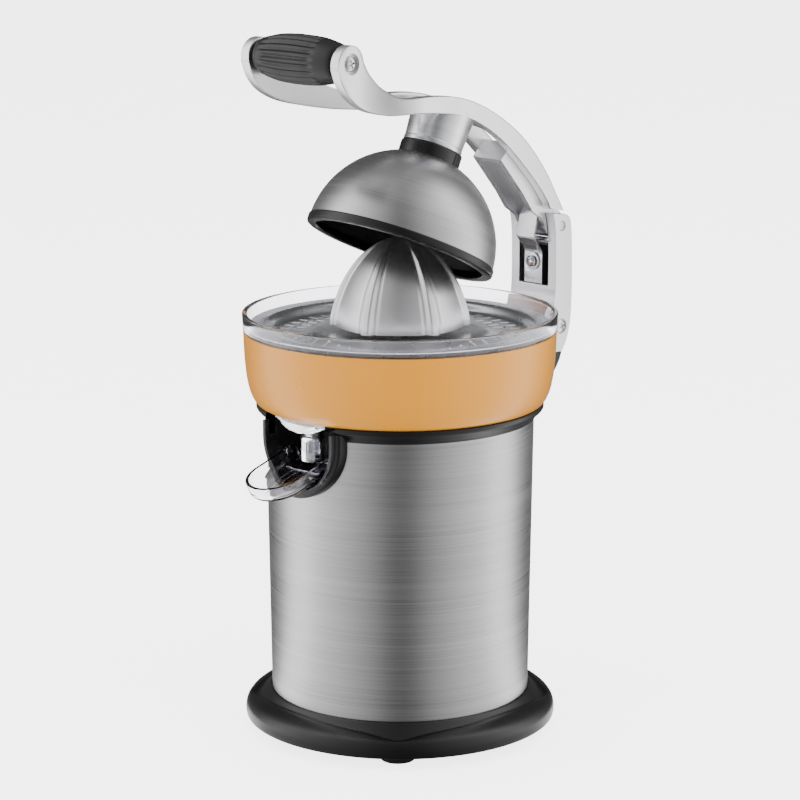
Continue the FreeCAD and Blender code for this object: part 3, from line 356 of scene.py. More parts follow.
# coloured band: glossy orange under a clear coat
orangeBand = grained("SANMouldedOrangeGloss", {
    "Base Color": linear("#FFA600"), "Roughness": 0.4, "IOR": 1.5,
    "Coat Weight": 0.35, "Coat Roughness": 0.05}, 0.003, 0.00002, (0.26, 0.38), 0.2)
whiteNylon = grained("NylonNaturalMoulded", {
    "Base Color": linear("#E6E1D2"), "Roughness": 0.45, "IOR": 1.53,
    "Subsurface Weight": 0.1, "Subsurface Radius": (0.002, 0.002, 0.0015)}, 0.0008, 0.00003, (0.38, 0.5))
brassTurned = grained("BrassTurned", {
    "Base Color": linear("#C9A255"), "Metallic": 1.0, "Roughness": 0.3}, 0.0005, 0.00002, (0.24, 0.38))
zincSheet = grained("SteelSheetZincPlated", {
    "Base Color": linear("#A9ACB0"), "Metallic": 1.0, "Roughness": 0.38}, 0.003, 0.00002, (0.28, 0.48))
laminated = brushed("SteelLaminatedStack", ("#55565A", "#7E8086"), (20, 20, 2000),
                    (0, 0, 0), (0.4, 0.55), 0.0001)


# camera
print("camera")
cameraSizes = {"azimuth": 46.0, "pitch": 12.52, "distance": 1442.6, "height": 495.7, "lens": 126.63}
heading = math.radians(cameraSizes["azimuth"])
cameraData = bpy.data.cameras.new("camera")
cameraData.lens, cameraData.sensor_width = cameraSizes["lens"], 36.0
cameraData.clip_end = 60.0
camera = bpy.data.objects.new("camera", cameraData)
camera.location = (cameraSizes["distance"] * 0.001 * math.sin(heading),
                   axisY - cameraSizes["distance"] * 0.001 * math.cos(heading),
                   cameraSizes["height"] * 0.001)
camera.rotation_euler = (math.radians(90 - cameraSizes["pitch"]), 0, heading)
bpy.context.scene.collection.objects.link(camera)
bpy.context.scene.camera = camera


# base: flange with a valley over each foot, and the feet
print("base")
baseSizes = {"crease": 71.2, "creaseRun": 5.6, "footCircle": 64.7, "footRadius": 9.5, "footTop": 11.4}


def flangeProfile(angle):
    # The flange's section at each angle. The crease between the inner skirt and the rounded rim runs
    # out by creaseRun, along a peaked curve, at each of the four feet.
    away = np.abs(np.degrees(angle) % 90 - 45)          # degrees from the nearest foot
    near = (1 - away / 45) ** 1.7 * 0.75 + np.exp(-(away / 9.0) ** 2) * 0.25
    crease = baseSizes["crease"] + baseSizes["creaseRun"] * near
    creaseZ = 18.6 - 5.0 * near
    crest = crease + 2.6
    crestZ = 20.3 - (crest - 69.6) * 0.46 - 1.3 * near
    one = np.ones_like(near)
    points = [(66.0 * one, 21.0 * one), (66.0 * one, 13.8 * one), (68.5 * one, 13.8 * one),
              (68.55 * one, 21.3 * one), (69.3 * one, 21.1 * one), (crease, creaseZ),
              (crest, crestZ), (79.9 + 0.4 * near, 15.3 - 0.8 * near), (82.3 * one, 11.8 * one),
              (82.7 * one, 8.2 * one), (82.2 * one, 5.7 * one), (80.4 * one, 5.7 * one),
              (79.7 * one, 11.5 * one), (55 * one, 11.5 * one), (55 * one, 5.7 * one),
              (53 * one, 5.7 * one), (53 * one, 13.4 * one), (64 * one, 13.4 * one), (64 * one, 21.0 * one)]
    radii = [0.3, 0.2, 0.2, 0.2, 1.0, 0.9, 2.2, 3.2, 3.0, 2.2, 0.6] + [0.5] * 7 + [0.3]
    return softLoop(np.stack([np.stack(p, -1) for p in points], axis=-2), radii, 5)


around = np.linspace(0, 2 * math.pi, 360, endpoint=False)
section = flangeProfile(around)
flange = np.stack([section[..., 0] * np.cos(around)[:, None], section[..., 0] * np.sin(around)[:, None],
                   section[..., 1]], axis=-1)
settle(buildMesh("baseFlange", [gridPart(flange)], 50), "housing", glossBlack, "base_flange", "base_flange")

feet = []
footProfile = softLoop([(0, 0), (baseSizes["footRadius"] - 0.9, 0), (baseSizes["footRadius"], 1.4),
                        (baseSizes["footRadius"], baseSizes["footTop"]), (0, baseSizes["footTop"])],
                       [0, 0.9, 0.9, 0.4, 0])
for quarter in range(4):
    turn = math.radians(45 + 90 * quarter)
    centre = (baseSizes["footCircle"] * math.cos(turn), baseSizes["footCircle"] * math.sin(turn), 0)
    feet.append(lathePart(footProfile, 56, centre))
settle(buildMesh("rubberFeet", feet), "housing", softRubber, "rubber_feet", "rubber_feet")


# housing: steel tube, collar and the outlet recess
print("housing")
housingSizes = {"footRadius": 68.3, "headRadius": 70.4, "foot": 14.0, "head": 168.0, "wall": 0.8,
                "recess": 24.2, "frame": 28.5, "recessLevel": 164.3, "face": 75.4, "legTop": 172.2}
levels = np.linspace(0, 1, 24)[:, None]
tubeFoot = np.array([housingSizes["footRadius"], housingSizes["foot"]])
tubeHead = np.array([housingSizes["headRadius"], housingSizes["head"]])
tubeOut = tubeFoot + (tubeHead - tubeFoot) * levels
tubeIn = tubeOut[::-1] - np.array([housingSizes["wall"], 0])


def recessOutline(radius, top, steps=48):
    # A U in (x, z): half a circle below recessLevel and straight sides up to top.
    turn = np.linspace(math.pi, 2 * math.pi, steps)
    arc = np.stack([radius * np.cos(turn), housingSizes["recessLevel"] + radius * np.sin(turn)], -1)
    return np.vstack([[-radius, top], arc, [radius, top]])


housing = buildMesh("steelHousing", [lathePart(np.vstack([tubeOut, tubeIn]), 256)], 30)
carved(housing, [buildMesh("cutter", [prismPart(recessOutline(housingSizes["frame"] - 0.9, 190),
                                                -90, -40, 1)])])
sharpened(housing, 30, True)
settle(housing, "housing", housingSteel, "steel_housing", "steel_housing")

collarProfile = softLoop([(67.4, 160), (69.4, 160), (69.4, 168), (71.0, 168), (71.7, 169.6), (75.0, 172.6),
                          (75.5, 173.4), (75.5, 175.0), (74.8, 175.6), (67.4, 175.6)],
                         [0.3, 0.3, 0.2, 0.4, 1.2, 0.8, 0.6, 0.5, 0.5, 0.3])
collar = buildMesh("topCollar", [lathePart(collarProfile, 256)], 50)
carved(collar, [buildMesh("cutter", [prismPart(recessOutline(housingSizes["recess"] + 1.9, 200),
                                               -90, -40, 1)])])
sharpened(collar, 50, True)
settle(collar, "housing", glossBlack, "top_collar", "top_collar")

# the frame follows the U; its section reaches from the steel out to a round face
turn = np.linspace(math.pi, 2 * math.pi, 64)
outward = np.vstack([[[-1, 0]] * 6, np.stack([np.cos(turn), np.sin(turn)], -1), [[1, 0]] * 6])
leg = np.stack([np.zeros(6), np.linspace(housingSizes["legTop"], 165.0, 6)], -1)
middle = np.vstack([leg, np.tile([0, housingSizes["recessLevel"]], (64, 1)), leg[::-1]])
inner, outer, face = housingSizes["recess"], housingSizes["frame"], housingSizes["face"]
section = softLoop([(inner, 70.4), (outer, 70.4), (outer, 75.0), (27.6, face), (24.9, face), (inner, 74.8)],
                   [0.2, 0.2, 0.6, 0.5, 0.5, 0.5])
across = middle[:, None, :] + outward[:, None, :] * section[None, :, :1]
reach = np.sqrt(np.maximum(np.broadcast_to(section[:, 1], across.shape[:2]) ** 2 - across[..., 0] ** 2, 1))
frameGrid = np.stack([across[..., 0], -reach, across[..., 1]], axis=-1)
linerShell = buildMesh("outletSurround", [prismPart(recessOutline(26.1, 172), -73.0, -44, 1)], 40)
carved(linerShell, [buildMesh("cutter", [prismPart(recessOutline(inner, 190), -90, -46, 1)])])
sharpened(linerShell, 40)
settle(linerShell, "housing", dullBlack, "outlet_surround")
outletFrame = buildMesh("outletFrame", [cappedPart(frameGrid)], 50)
settle(outletFrame, "housing", glossBlack, "outlet_surround", "outlet_surround")


# bowl, its band, outlet and strainer
print("bowl")
bowlSizes = {"rim": 82.5, "rimZ": 223.1, "band": 1.6, "tubeY": -61.5, "foot": 73.2}
sideLine = smoothLine([(74.0, 175.6), (75.6, 176.6), (78.0, 180.6), (80.0, 188.0), (81.05, 196.5),
                       (81.5, 203.0), (81.9, 213.7)], 40)
bandIn = sideLine[::-1] - np.array([bowlSizes["band"], 0])
turnedPiece("bowlBand", "bowl_band", "housing", orangeBand, np.vstack([sideLine, bandIn]), 256, 60)
# the clear shell stands just inside the band
shellOut = sideLine - np.array([bowlSizes["band"] + 0.15, 0])
rim = softLoop([(80.6, 214.0), (81.9, 214.0), (bowlSizes["rim"], bowlSizes["rimZ"]),
                (79.6, bowlSizes["rimZ"]), (79.0, 214.0), (79.3, 212)],
               [0.2, 0.2, 0.9, 0.9, 0.2, 0.1])[:-10]
shellIn = smoothLine([(79.0, 213.0), (78.6, 203), (77.4, 190), (74.6, 182.6), (70.0, 179.4),
                      (62, 178.6)], 24)
hub = np.array([(9.5, 178.6), (9.5, 209.0), (7.5, 209.0), (7.5, 176.9), (70.0, 176.9), (71.0, 175.7),
                (72.2, 175.7)])
bowlShell = buildMesh("juiceBowl", [lathePart(np.vstack([shellOut, rim, shellIn, hub]), 256)], 40)


def outletTop(angle, radius, height):
    # The funnel's wide end stays inside the foot of the bowl, a circle round the housing's axis.
    away = np.abs(bowlSizes["tubeY"])
    limit = away * np.sin(angle) + np.sqrt(bowlSizes["foot"] ** 2 - away ** 2 * np.cos(angle) ** 2)
    share = smoothStep((height - 164) / 9)
    return radius + (np.minimum(radius, limit) - radius) * share, height


funnelProfile = softLoop([(5.2, 154.0), (6.8, 153.5), (6.9, 165.0), (9.2, 168.2), (15.6, 171.2),
                          (21.0, 174.2), (21.2, 175.6), (20.2, 176.0), (14.2, 173.4),
                          (7.8, 170.2), (5.3, 166.2)],
                         [0.3, 0.5, 2.0, 2.5, 2.5, 0.8, 0.4, 0.5, 2.5, 2.0, 2.0])
outlet = lathePart(funnelProfile, 96, (0, bowlSizes["tubeY"], 0), None, outletTop)
settle(bowlShell, "housing", clearPlastic, "juice_bowl", "juice_bowl")
settle(buildMesh("outletFunnel", [outlet], 40), "housing", clearPlastic, "juice_bowl")

# strainer: one sheet with two rings of slots, thickened afterwards
strainerSizes = {"level": 212.6, "slots": 48, "sheet": 0.8}
# each slot takes two of the eight cells of its pitch
cells = 8 * strainerSizes["slots"]
heights = smoothLine([(12, 0), (20, 0), (34, 0), (45, 0), (47.5, -0.6), (50.5, -1.4), (53, -1.6),
                      (57.5, -1.6), (59.5, -1.6), (66, -1.6), (68.2, -0.8), (70.2, 2.6),
                      (72, 3.6), (78.6, 3.8)], 60)
sheetAngle = np.linspace(0, 2 * math.pi, cells, endpoint=False)[:, None]
sheetLevel = np.broadcast_to(strainerSizes["level"] + heights[:, 1], (cells, len(heights)))
sheetGrid = np.stack([heights[:, 0] * np.cos(sheetAngle), heights[:, 0] * np.sin(sheetAngle), sheetLevel], -1)
points, quads = gridPart(sheetGrid, (True, False))
quads = quads.reshape(cells, len(heights) - 1, 4)
ringMiddle = (heights[:-1, 0] + heights[1:, 0]) / 2
innerRing = (ringMiddle > 50.5) & (ringMiddle < 57.5)
outerRing = (ringMiddle > 59.5) & (ringMiddle < 66)
number = np.arange(cells)[:, None]
holes = ((number % 8 < 2) & innerRing) | (((number + 4) % 8 < 2) & outerRing)
strainer = buildMesh("strainer", [(points, quads[~holes])], 50)
wall = strainer.modifiers.new("sheet", "SOLIDIFY")
wall.thickness, wall.offset = strainerSizes["sheet"] * 0.001, 0.0
applied(strainer)
settle(strainer, "housing", strainerSteel, "strainer", "strainer")


# reamer
print("reamer")
reamerSizes = {"firstRib": 46.0, "ribHalf": 2.6, "sink": 1.5, "tip": 262.0}
line = smoothLine([(36.8, 216.2), (36.3, 220), (35.0, 225.5), (33.2, 231), (30.6, 237.5), (27.0, 244),
                   (22.4, 250.2), (17.0, 255.4), (11.0, 259.3), (5.5, 261.4),
                   (0.0, reamerSizes["tip"])], 64)
inside = np.array([(0.0, 251.0), (9.0, 250.5), (16.0, 240.0), (20.0, 228.0), (24.0, 216.2)])


def ribbed(angle, radius, height):
    # narrow ribs stand over sides that lie almost flat between them: with the distance to the nearest
    # rib as a, a side's radius goes 45 % of the way from R to R cos 30 / cos(30 - a), less the sink
    away = np.abs((np.degrees(angle) - reamerSizes["firstRib"] + 30) % 60 - 30)
    rib = 1 - smoothStep((away - reamerSizes["ribHalf"]) / 3.2)
    flat = 1 - 0.45 * (1 - math.cos(math.pi / 6) / np.cos(np.radians(30 - away)))
    up = smoothStep((reamerSizes["tip"] - height) / 9.0)
    sink = reamerSizes["sink"] * (1 + 0.5 * np.exp(-((away - 7.4) / 1.8) ** 2)) * up
    outside = radius >= np.interp(height, [216, 228, 240, 251, 262], [25, 21, 17, 6, -1])
    side = radius * flat - sink
    skin = np.maximum(rib * radius + (1 - rib) * side, 0.02)
    return np.where(outside & (radius > 0.01), skin, radius), height


turnedPiece("reamerCone", "reamer_cone", "reamer", reamerSteel, np.vstack([line, inside]), 384, 46,
            shape=ribbed)


# press head on its leaning axis
print("press head")
pressSizes = {"tilt": 25.0, "y": -0.9, "z": 255.0, "ball": 49.7, "centre": 2.8, "crownRadius": 16.3}
lean = math.radians(pressSizes["tilt"])
tiltMatrix = [(1, 0, 0), (0, math.cos(lean), math.sin(lean)), (0, -math.sin(lean), math.cos(lean))]
onPress = {"centre": (0, pressSizes["y"], pressSizes["z"]), "tilt": tiltMatrix}
# where the flat crown of the dome lies above its ring
crown = pressSizes["centre"] + math.sqrt(pressSizes["ball"] ** 2 - pressSizes["crownRadius"] ** 2)


def capProfile(outerRadius, thickness, foot, crownRadius):
    # Two concentric arcs about the dome's centre, from the foot up to the flat crown.
    lines = []
    for ball in (outerRadius, outerRadius - thickness):
        low = math.asin((foot - pressSizes["centre"]) / ball)
        high = math.acos(crownRadius / ball)
        t = np.linspace(low, high, 40)
        lines.append(np.stack([ball * np.cos(t), pressSizes["centre"] + ball * np.sin(t)], -1))
    lines[0] = np.vstack([lines[0], [3.0, lines[0][-1, 1]]])
    lines[1] = np.vstack([[3.0, lines[1][-1, 1]], lines[1][::-1]])
    return np.vstack(lines)


domeProfile = capProfile(pressSizes["ball"], 0.8, 4.6, pressSizes["crownRadius"])
turnedPiece("pressDome", "press_dome", "arm", domeSteel, domeProfile, 224, **onPress)
linerProfile = capProfile(pressSizes["ball"] - 1.0, 1.6, 4.2, 15.6)
turnedPiece("domeLiner", "dome_liner", "arm", dullBlack, linerProfile, 160, **onPress)
ringProfile = softLoop([(45.2, 0.0), (49.6, 0.0), (50.35, 0.9), (50.35, 4.1), (49.9, 4.6), (46.2, 4.6),
                        (45.2, 1.6)], [0.6, 0.6, 0.7, 0.4, 0.3, 0.5, 0.8])
turnedPiece("domeRing", "dome_ring", "arm", glossBlack, ringProfile, 224, 50, **onPress)


def tabbed(angle, radius, height):
    # A raised tab, nearly 9 mm wide, stands out half a millimetre from the collar's right side.
    away = np.abs((np.degrees(angle) - 22 + 180) % 360 - 180)
    tab = smoothStep((15 - away) / 1.6)
    return radius + 0.55 * tab * (radius > 15), height


collarRing = softLoop([(3.2, crown - 0.2), (16.35, crown - 0.2), (16.35, crown + 6.2), (15.9, crown + 6.8),
                       (3.2, crown + 6.8)], [0.1, 0.3, 0.5, 0.4, 0.1])
turnedPiece("neckCollar", "neck_collar", "arm", glossBlack, collarRing, 240, **onPress, shape=tabbed)
neckFoot = crown + 6.8
neckProfile = softLoop([(3.0, neckFoot), (15.75, neckFoot), (15.75, neckFoot + 2.3), (15.45, neckFoot + 2.6),
                        (15.55, neckFoot + 3.0), (16.75, neckFoot + 21.2), (3.0, neckFoot + 21.2)],
                       [0.1, 0.35, 0.2, 0.15, 0.2, 0.4, 0.1])
turnedPiece("pressNeck", "press_neck", "arm", turnedAluminium, neckProfile, 128, **onPress)


# arm: two plates that part into a fork, and the web between them
print("arm")
armSizes = {"half": 16.6, "fork": 36.2, "part": 5.0, "run": 77.0, "wall": 6.0, "edge": 0.75,
            "bossY": -67.0, "bossZ": 358.4, "bossRadius": 9.2, "web": 11.2, "steps": 220}
lowerEdge = [(98.9, 267.7), (96.3, 268.9), (95.1, 271.4), (88.3, 280.4), (80.6, 288.6), (72.5, 296.7),
             (62.5, 305.7), (53.8, 312.1), (45.1, 317.2), (35.4, 321.7), (24.0, 324.8),
             (12.0, 326.4), (-2.0, 327.3),
             (-14.6, 327.9), (-20.7, 328.3), (-31.4, 329.3), (-42.2, 331.2), (-54.9, 334.3), (-63.2, 338.1),
             (-69.6, 343.0), (-73.8, 349.0), (-75.9, 355.0)]
upperEdge = [(107.2, 266.2), (105.7, 268.9), (100.8, 276.9), (94.3, 287.3), (84.0, 300.1), (72.3, 311.2),
             (57.0, 321.5), (42.0, 329.0), (27.2, 333.5), (12.7, 335.3), (-2.0, 335.6), (-10.8, 335.9),
             (-20.7, 337.4), (-31.4, 341.0), (-42.1, 345.3), (-48.5, 349.4), (-53.4, 353.6), (-57.4, 358.8)]
bossTurn = np.radians(np.linspace(8, 185, 16))
bossArc = np.stack([armSizes["bossY"] + armSizes["bossRadius"] * np.cos(bossTurn),
                    armSizes["bossZ"] + armSizes["bossRadius"] * np.sin(bossTurn)], -1)
upperEdge = np.vstack([upperEdge, bossArc])
low = smoothLine(lowerEdge, 300)
top = smoothLine(upperEdge, 420)


def evenly(line, count):
    # The same line with its points spaced evenly along it.
    run = np.concatenate([[0], np.cumsum(np.linalg.norm(np.diff(line, axis=0), axis=1))])
    t = np.linspace(0, run[-1], count)
    return np.stack([np.interp(t, run, line[:, k]) for k in (0, 1)], -1)


def splay(y):
    # Half width over the plates: level behind the parting, then an S curve out to the fork's width.
    out = smoothStep((armSizes["part"] - y) / armSizes["run"])
    return armSizes["half"] + (armSizes["fork"] - armSizes["half"]) * out


# the two edges are paired by even steps along each
lowPath, topPath = evenly(low, armSizes["steps"]), evenly(top, 2000)
topPath = topPath[(np.linspace(0, 1, armSizes["steps"]) * 1999).astype(int)]


def plate(side):
    # Between the lower and the upper edge runs a rounded oblong section, one edge radius in from each
    # corner, and its X follows the splay of the fork.
    span = topPath - lowPath
    height = np.linalg.norm(span, axis=1, keepdims=True)
    unit = span / np.maximum(height, 1e-6)
    e = np.minimum(armSizes["edge"], height / 2.3)
    half = armSizes["wall"] / 2
    bend = np.linspace(0, math.pi / 2, 4)
    xs, ds = [], []
    for cornerX, flip in ((1, 0), (1, 1), (-1, 1), (-1, 0)):      # four rounded corners of the section
        for k in (bend if (cornerX > 0) ^ (flip == 0) else bend[::-1]):
            xs.append(cornerX * (half - e + e * np.cos(k)))
            d = e * (1 - np.sin(k))
            ds.append(height - d if flip else d)
        if cornerX > 0 and flip == 0 or cornerX < 0 and flip == 1:
            for f in np.linspace(0.15, 0.85, 5):                   # points across each flat face
                xs.append(np.full_like(e, cornerX * half))
                ds.append(height * (f if cornerX > 0 else 1 - f))
    x = np.concatenate(xs, axis=1)
    d = np.concatenate(ds, axis=1)
    yz = lowPath[:, None, :] + unit[:, None, :] * d[..., None]
    x = side * (splay(yz[..., 0]) - half + x)
    return np.stack([x, yz[..., 0], yz[..., 1]], axis=-1)


rightPlate = buildMesh("armPlateRight", [cappedPart(plate(1))], 40)
leftPlate = buildMesh("armPlateLeft", [cappedPart(plate(-1))], 40)

# web: a block between the plates whose front is a U and whose top is hollowed
webX = np.linspace(-armSizes["web"], armSizes["web"], 33)[:, None]
bulge = 1 - (np.clip(np.abs(webX), 0, 10.6) / 10.6) ** 2
frontY = 2.0 + 8.0 * bulge
rearY = 52.0 - 5.5 * bulge
f = np.linspace(0, 1, 24)[None, :]
topY = rearY + (frontY - rearY) * f
hollow = 2.6 * (1 - (webX / armSizes["web"]) ** 2) ** 0.6 * smoothStep(np.minimum(f, 1 - f) * 6)
ridge = top[::-1][top[::-1, 0] > -50]
topZ = np.interp(topY.ravel(), ridge[:, 0], ridge[:, 1]).reshape(topY.shape)
topZ = topZ - 1.1 - hollow
bottomY = topY[:, ::-1]
bottomZ = np.interp(bottomY.ravel(), low[::-1, 0], low[::-1, 1]).reshape(bottomY.shape) + 0.6
webLoop = np.concatenate([np.stack([topY, topZ], -1), np.stack([bottomY, bottomZ], -1)], axis=1)
webGrid = np.concatenate([np.broadcast_to(webX[..., None], webLoop.shape[:2] + (1,)), webLoop], axis=-1)
armWeb = buildMesh("armWeb", [cappedPart(webGrid)], 50)

# counterbores for the grip screws, cut from the outer faces
for piece, side in ((rightPlate, 1), (leftPlate, -1)):
    bore = np.array([(0, -2.6), (5.4, -2.6), (5.4, 6.0), (0, 6.0)])
    sideways = [(0, 0, side), (0, 1, 0), (-side, 0, 0)]
    seat = (side * 36.0, armSizes["bossY"], armSizes["bossZ"])
    carved(piece, [buildMesh("cutter", [lathePart(bore, 64, seat, sideways)])])
    sharpened(piece, 40)
    settle(piece, "arm", satinAluminium, "arm_casting")
settle(armWeb, "arm", satinAluminium, "arm_casting", "arm_casting")


# grip
print("grip")
gripSizes = {"half": 28.8, "ribs": 20, "ribDepth": 1.25, "parting": -5.6, "bore": 4.0}
gripAlong = smoothLine([(-28.8, 7.6), (-28.4, 8.4), (-27.2, 9.2), (-22, 10.6), (-14, 11.95), (-4, 12.6),
                        (4, 12.6), (14, 11.95), (22, 10.6), (27.2, 9.2), (28.4, 8.4), (28.8, 7.6)], 120)
gripLoop = np.vstack([(gripSizes["bore"], -gripSizes["half"]), gripAlong[:, ::-1],
                      (gripSizes["bore"], gripSizes["half"])])


def gripShape(angle, radius, height):
    # Rounded ribs along the grip, fading at both ends, and a fine parting line left of the middle.
    fade = smoothStep((height + 24.5) / 7) * smoothStep((19.5 - height) / 6)
    rib = 0.5 - 0.5 * np.cos(angle * gripSizes["ribs"])
    line = np.exp(-((height - gripSizes["parting"]) / 0.28) ** 2)
    outside = radius > 7
    return radius - outside * (gripSizes["ribDepth"] * rib ** 1.1 * fade + 0.22 * line), height


alongX = [(0, 0, 1), (0, 1, 0), (-1, 0, 0)]
turnedPiece("grip", "grip", "arm", softRubber, gripLoop, 320, 50,
            centre=(0, armSizes["bossY"], armSizes["bossZ"]), tilt=alongX, shape=gripShape)


# screws and pins
print("screws")


def screwPart(name, radius, height, centre, tilt, slots, slotSize):
    # A domed head on a short stem. As many narrow slots as slots says are cut, crossing at its middle.
    head = softLoop([(0, -4.0), (radius * 0.5, -4.0), (radius * 0.5, -0.4), (radius, 0),
                     (radius, height * 0.45), (radius * 0.62, height * 0.95), (0, height)],
                    [0, 0.1, 0.1, 0.15, 0.4, 0.6, 0.1])
    screw = buildMesh(name, [lathePart(head, 48, centre, tilt)], 40)
    cutters = []
    for k in range(slots):
        a = math.pi * k / slots + 0.3
        long, wide = slotSize
        corners = np.array([(-long, -wide), (long, -wide), (long, wide), (-long, wide)]) / 2
        turnBy = np.array([(math.cos(a), -math.sin(a)), (math.sin(a), math.cos(a))])
        flat = corners @ turnBy.T
        box = np.vstack([np.insert(flat, 2, level, axis=1) for level in (height - 1.1, height + 2)])
        box = box @ np.array(tilt).T + np.array(centre)
        sides = [(0, 1, 5, 4), (1, 2, 6, 5), (2, 3, 7, 6), (3, 0, 4, 7), (3, 2, 1, 0), (4, 5, 6, 7)]
        cutters.append(buildMesh("cutter", [(box, sides)]))
    carved(screw, cutters)
    sharpened(screw, 40)
    return screw


def joined(name, members):
    # Several pieces of one finish made a single mesh.
    work = bmesh.new()
    for member in members:
        work.from_mesh(member.data)
        bpy.data.objects.remove(member)
    mesh = bpy.data.meshes.new(name)
    work.to_mesh(mesh)
    work.free()
    piece = bpy.data.objects.new(name, mesh)
    bpy.context.scene.collection.objects.link(piece)
    return piece


alongMinusX = [(0, 0, -1), (0, 1, 0), (1, 0, 0)]


def screwPair(name, radius, height, x, y, z, slotSize):
    # The same screw on both sides of the middle plane, facing outwards.
    return joined(name, [screwPart(f"{name}{k}", radius, height, (side * x, y, z), tilt, 2, slotSize)
                         for k, (side, tilt) in enumerate(((1, alongX), (-1, alongMinusX)))])


gripScrews = screwPair("gripScrews", 3.8, 1.7, 33.9, armSizes["bossY"], armSizes["bossZ"], (4.4, 0.95))
settle(gripScrews, "arm", brightSteel, "grip_screws", "grip_screws")
sideScrews = screwPair("columnScrews", 3.8, 1.2, 15.9, 106.2, 202.8, (4.2, 0.9))
settle(sideScrews, "housing", brightSteel, "column_screws", "column_screws")
towardsFront = [(1, 0, 0), (0, 0, -1), (0, 1, 0)]
leafScrew = screwPart("leafScrew", 3.2, 2.0, (0, 99.4, 237.6), towardsFront, 3, (3.6, 1.0))
settle(leafScrew, "housing", brightSteel, "leaf_screw", "leaf_screw")
washerProfile = softLoop([(1.7, 0), (4.9, 0), (4.9, 0.9), (1.7, 0.9)], [0.1, 0.25, 0.25, 0.1])
turnedPiece("leafWasher", "leaf_washer", "housing", brightSteel, washerProfile, 48,
            centre=(0, 100.8, 237.6), tilt=towardsFront)
pinProfile = softLoop([(0, -16.1), (2.5, -16.1), (2.5, 16.1), (0, 16.1)], [0, 0.35, 0.35, 0])
turnedPiece("hingePin", "hinge_pin", "housing", brightSteel, pinProfile, 64,
            centre=(0, 105.9, 257.9), tilt=alongX)
stopProfile = softLoop([(0, -12.4), (1.25, -12.4), (1.25, 12.4), (0, 12.4)], [0, 0.2, 0.2, 0])
turnedPiece("stopPin", "stop_pin", "housing", brightSteel, stopProfile, 40,
            centre=(0, 101.5, 250.5), tilt=alongX)


# column, bracket and leaf
print("column")
columnSizes = {"half": 16.6, "gap": 10.8}
backLine = smoothLine([(106.9, 188.9), (110.3, 194.5), (113.25, 205.2), (114.2, 221.8), (114.22, 232.8),
                       (113.8, 249.4), (113.1, 257.9)], 40)
topLine = smoothLine([(113.0, 258.6), (112.2, 261.4), (110.3, 263.5), (107.3, 264.5), (104.0, 264.8)], 16)
frontLine = smoothLine([(98.7, 265.4), (100.1, 259.5), (100.9, 252.0), (101.2, 243.0), (101.2, 232.0),
                        (100.9, 222.0), (98.6, 208.0), (96.0, 199.0), (92.4, 188.9)], 40)
half, gap = columnSizes["half"], columnSizes["gap"]
columnShape = buildMesh("column", [prismPart(np.vstack([backLine, topLine, frontLine]), -half, half)], 40)
slotTop = [(80, 225), (110.5, 225), (110.5, 248), (125, 248), (125, 290), (80, 290)]
well = [(99.4, 180), (109.3, 180), (109.3, 222), (102.0, 222), (99.4, 193.9)]
cutters = [buildMesh("cutter", [prismPart(outline, -gap, gap)]) for outline in (slotTop, well)]
# the hinge bore, and a shallow seat for the screw in each side
for x, radius, centreY, centreZ, depth in ((0, 2.62, 105.9, 257.9, 40), (18.2, 4.1, 106.2, 202.8, 2.3),
                                           (-18.2, 4.1, 106.2, 202.8, 2.3)):
    bore = np.array([(0, -depth), (radius, -depth), (radius, depth), (0, depth)])
    cutters.append(buildMesh("cutter", [lathePart(bore, 56, (x, centreY, centreZ), alongX)]))
carved(columnShape, cutters)
softened(columnShape, 0.45, 2, 35)
settle(columnShape, "housing", satinAluminium, "column", "column")

leafLine = smoothLine([(101.35, 225.6), (101.35, 232), (101.35, 239), (101.2, 243.2), (99.6, 246.0),
                       (97.0, 248.8), (95.5, 250.4), (95.0, 252.2), (95.6, 256.0), (97.0, 262.5),
                       (98.2, 267.6)], 60)
tangent = np.gradient(leafLine, axis=0)
normal = np.stack([-tangent[:, 1], tangent[:, 0]], -1)
normal /= np.linalg.norm(normal, axis=1, keepdims=True)
leafHalf = 6.5 - 1.6 * smoothStep((leafLine[:, 1] - 262) / 5)
loop = softLoop([(-1, -0.45), (1, -0.45), (1, 0.45), (-1, 0.45)], [0.03, 0.03, 0.03, 0.03], 2)
leafYZ = leafLine[:, None, :] + normal[:, None, :] * loop[None, :, 1:]
leafGrid = np.concatenate([(loop[None, :, :1] * leafHalf[:, None, None]), leafYZ], axis=-1)
settle(buildMesh("leafSpring", [cappedPart(leafGrid)], 40), "housing", brightSteel, "leaf_spring", "leaf_spring")

bracketOutline = np.vstack([
    smoothLine([(64, 112), (70, 112), (74.8, 112.9), (78.0, 115.8), (79.6, 122), (81.0, 136), (83.2, 151),
                (87.5, 163.5), (95.5, 174.5), (101.3, 178.9), (105.2, 184.5), (106.9, 188.8)], 60),
    [(92.4, 188.8)], smoothLine([(90.0, 186.6), (83.5, 181.4), (79.3, 174.5), (76.9, 167.8),
     (64, 166)], 24)])
bracket = buildMesh("rearBracket", [prismPart(bracketOutline, -half, half)], 40)
saddle = lathePart([(0, 80), (69.6, 80), (71.1, 168), (76.0, 168), (76.0, 200), (0, 200)], 128)
carved(bracket, [buildMesh("cutter", [saddle])])
tongueOutline = [(99.8, 181), (104, 181), (109, 189), (109, 221.5), (102.4, 221.5), (99.8, 193)]
tongue = buildMesh("bracketTongue", [prismPart(tongueOutline, -10.6, 10.6)], 40)
softened(bracket, 0.7, 3, 35)
settle(bracket, "housing", dullBlack, "rear_bracket", "rear_bracket")
settle(tongue, "housing", dullBlack, "rear_bracket")


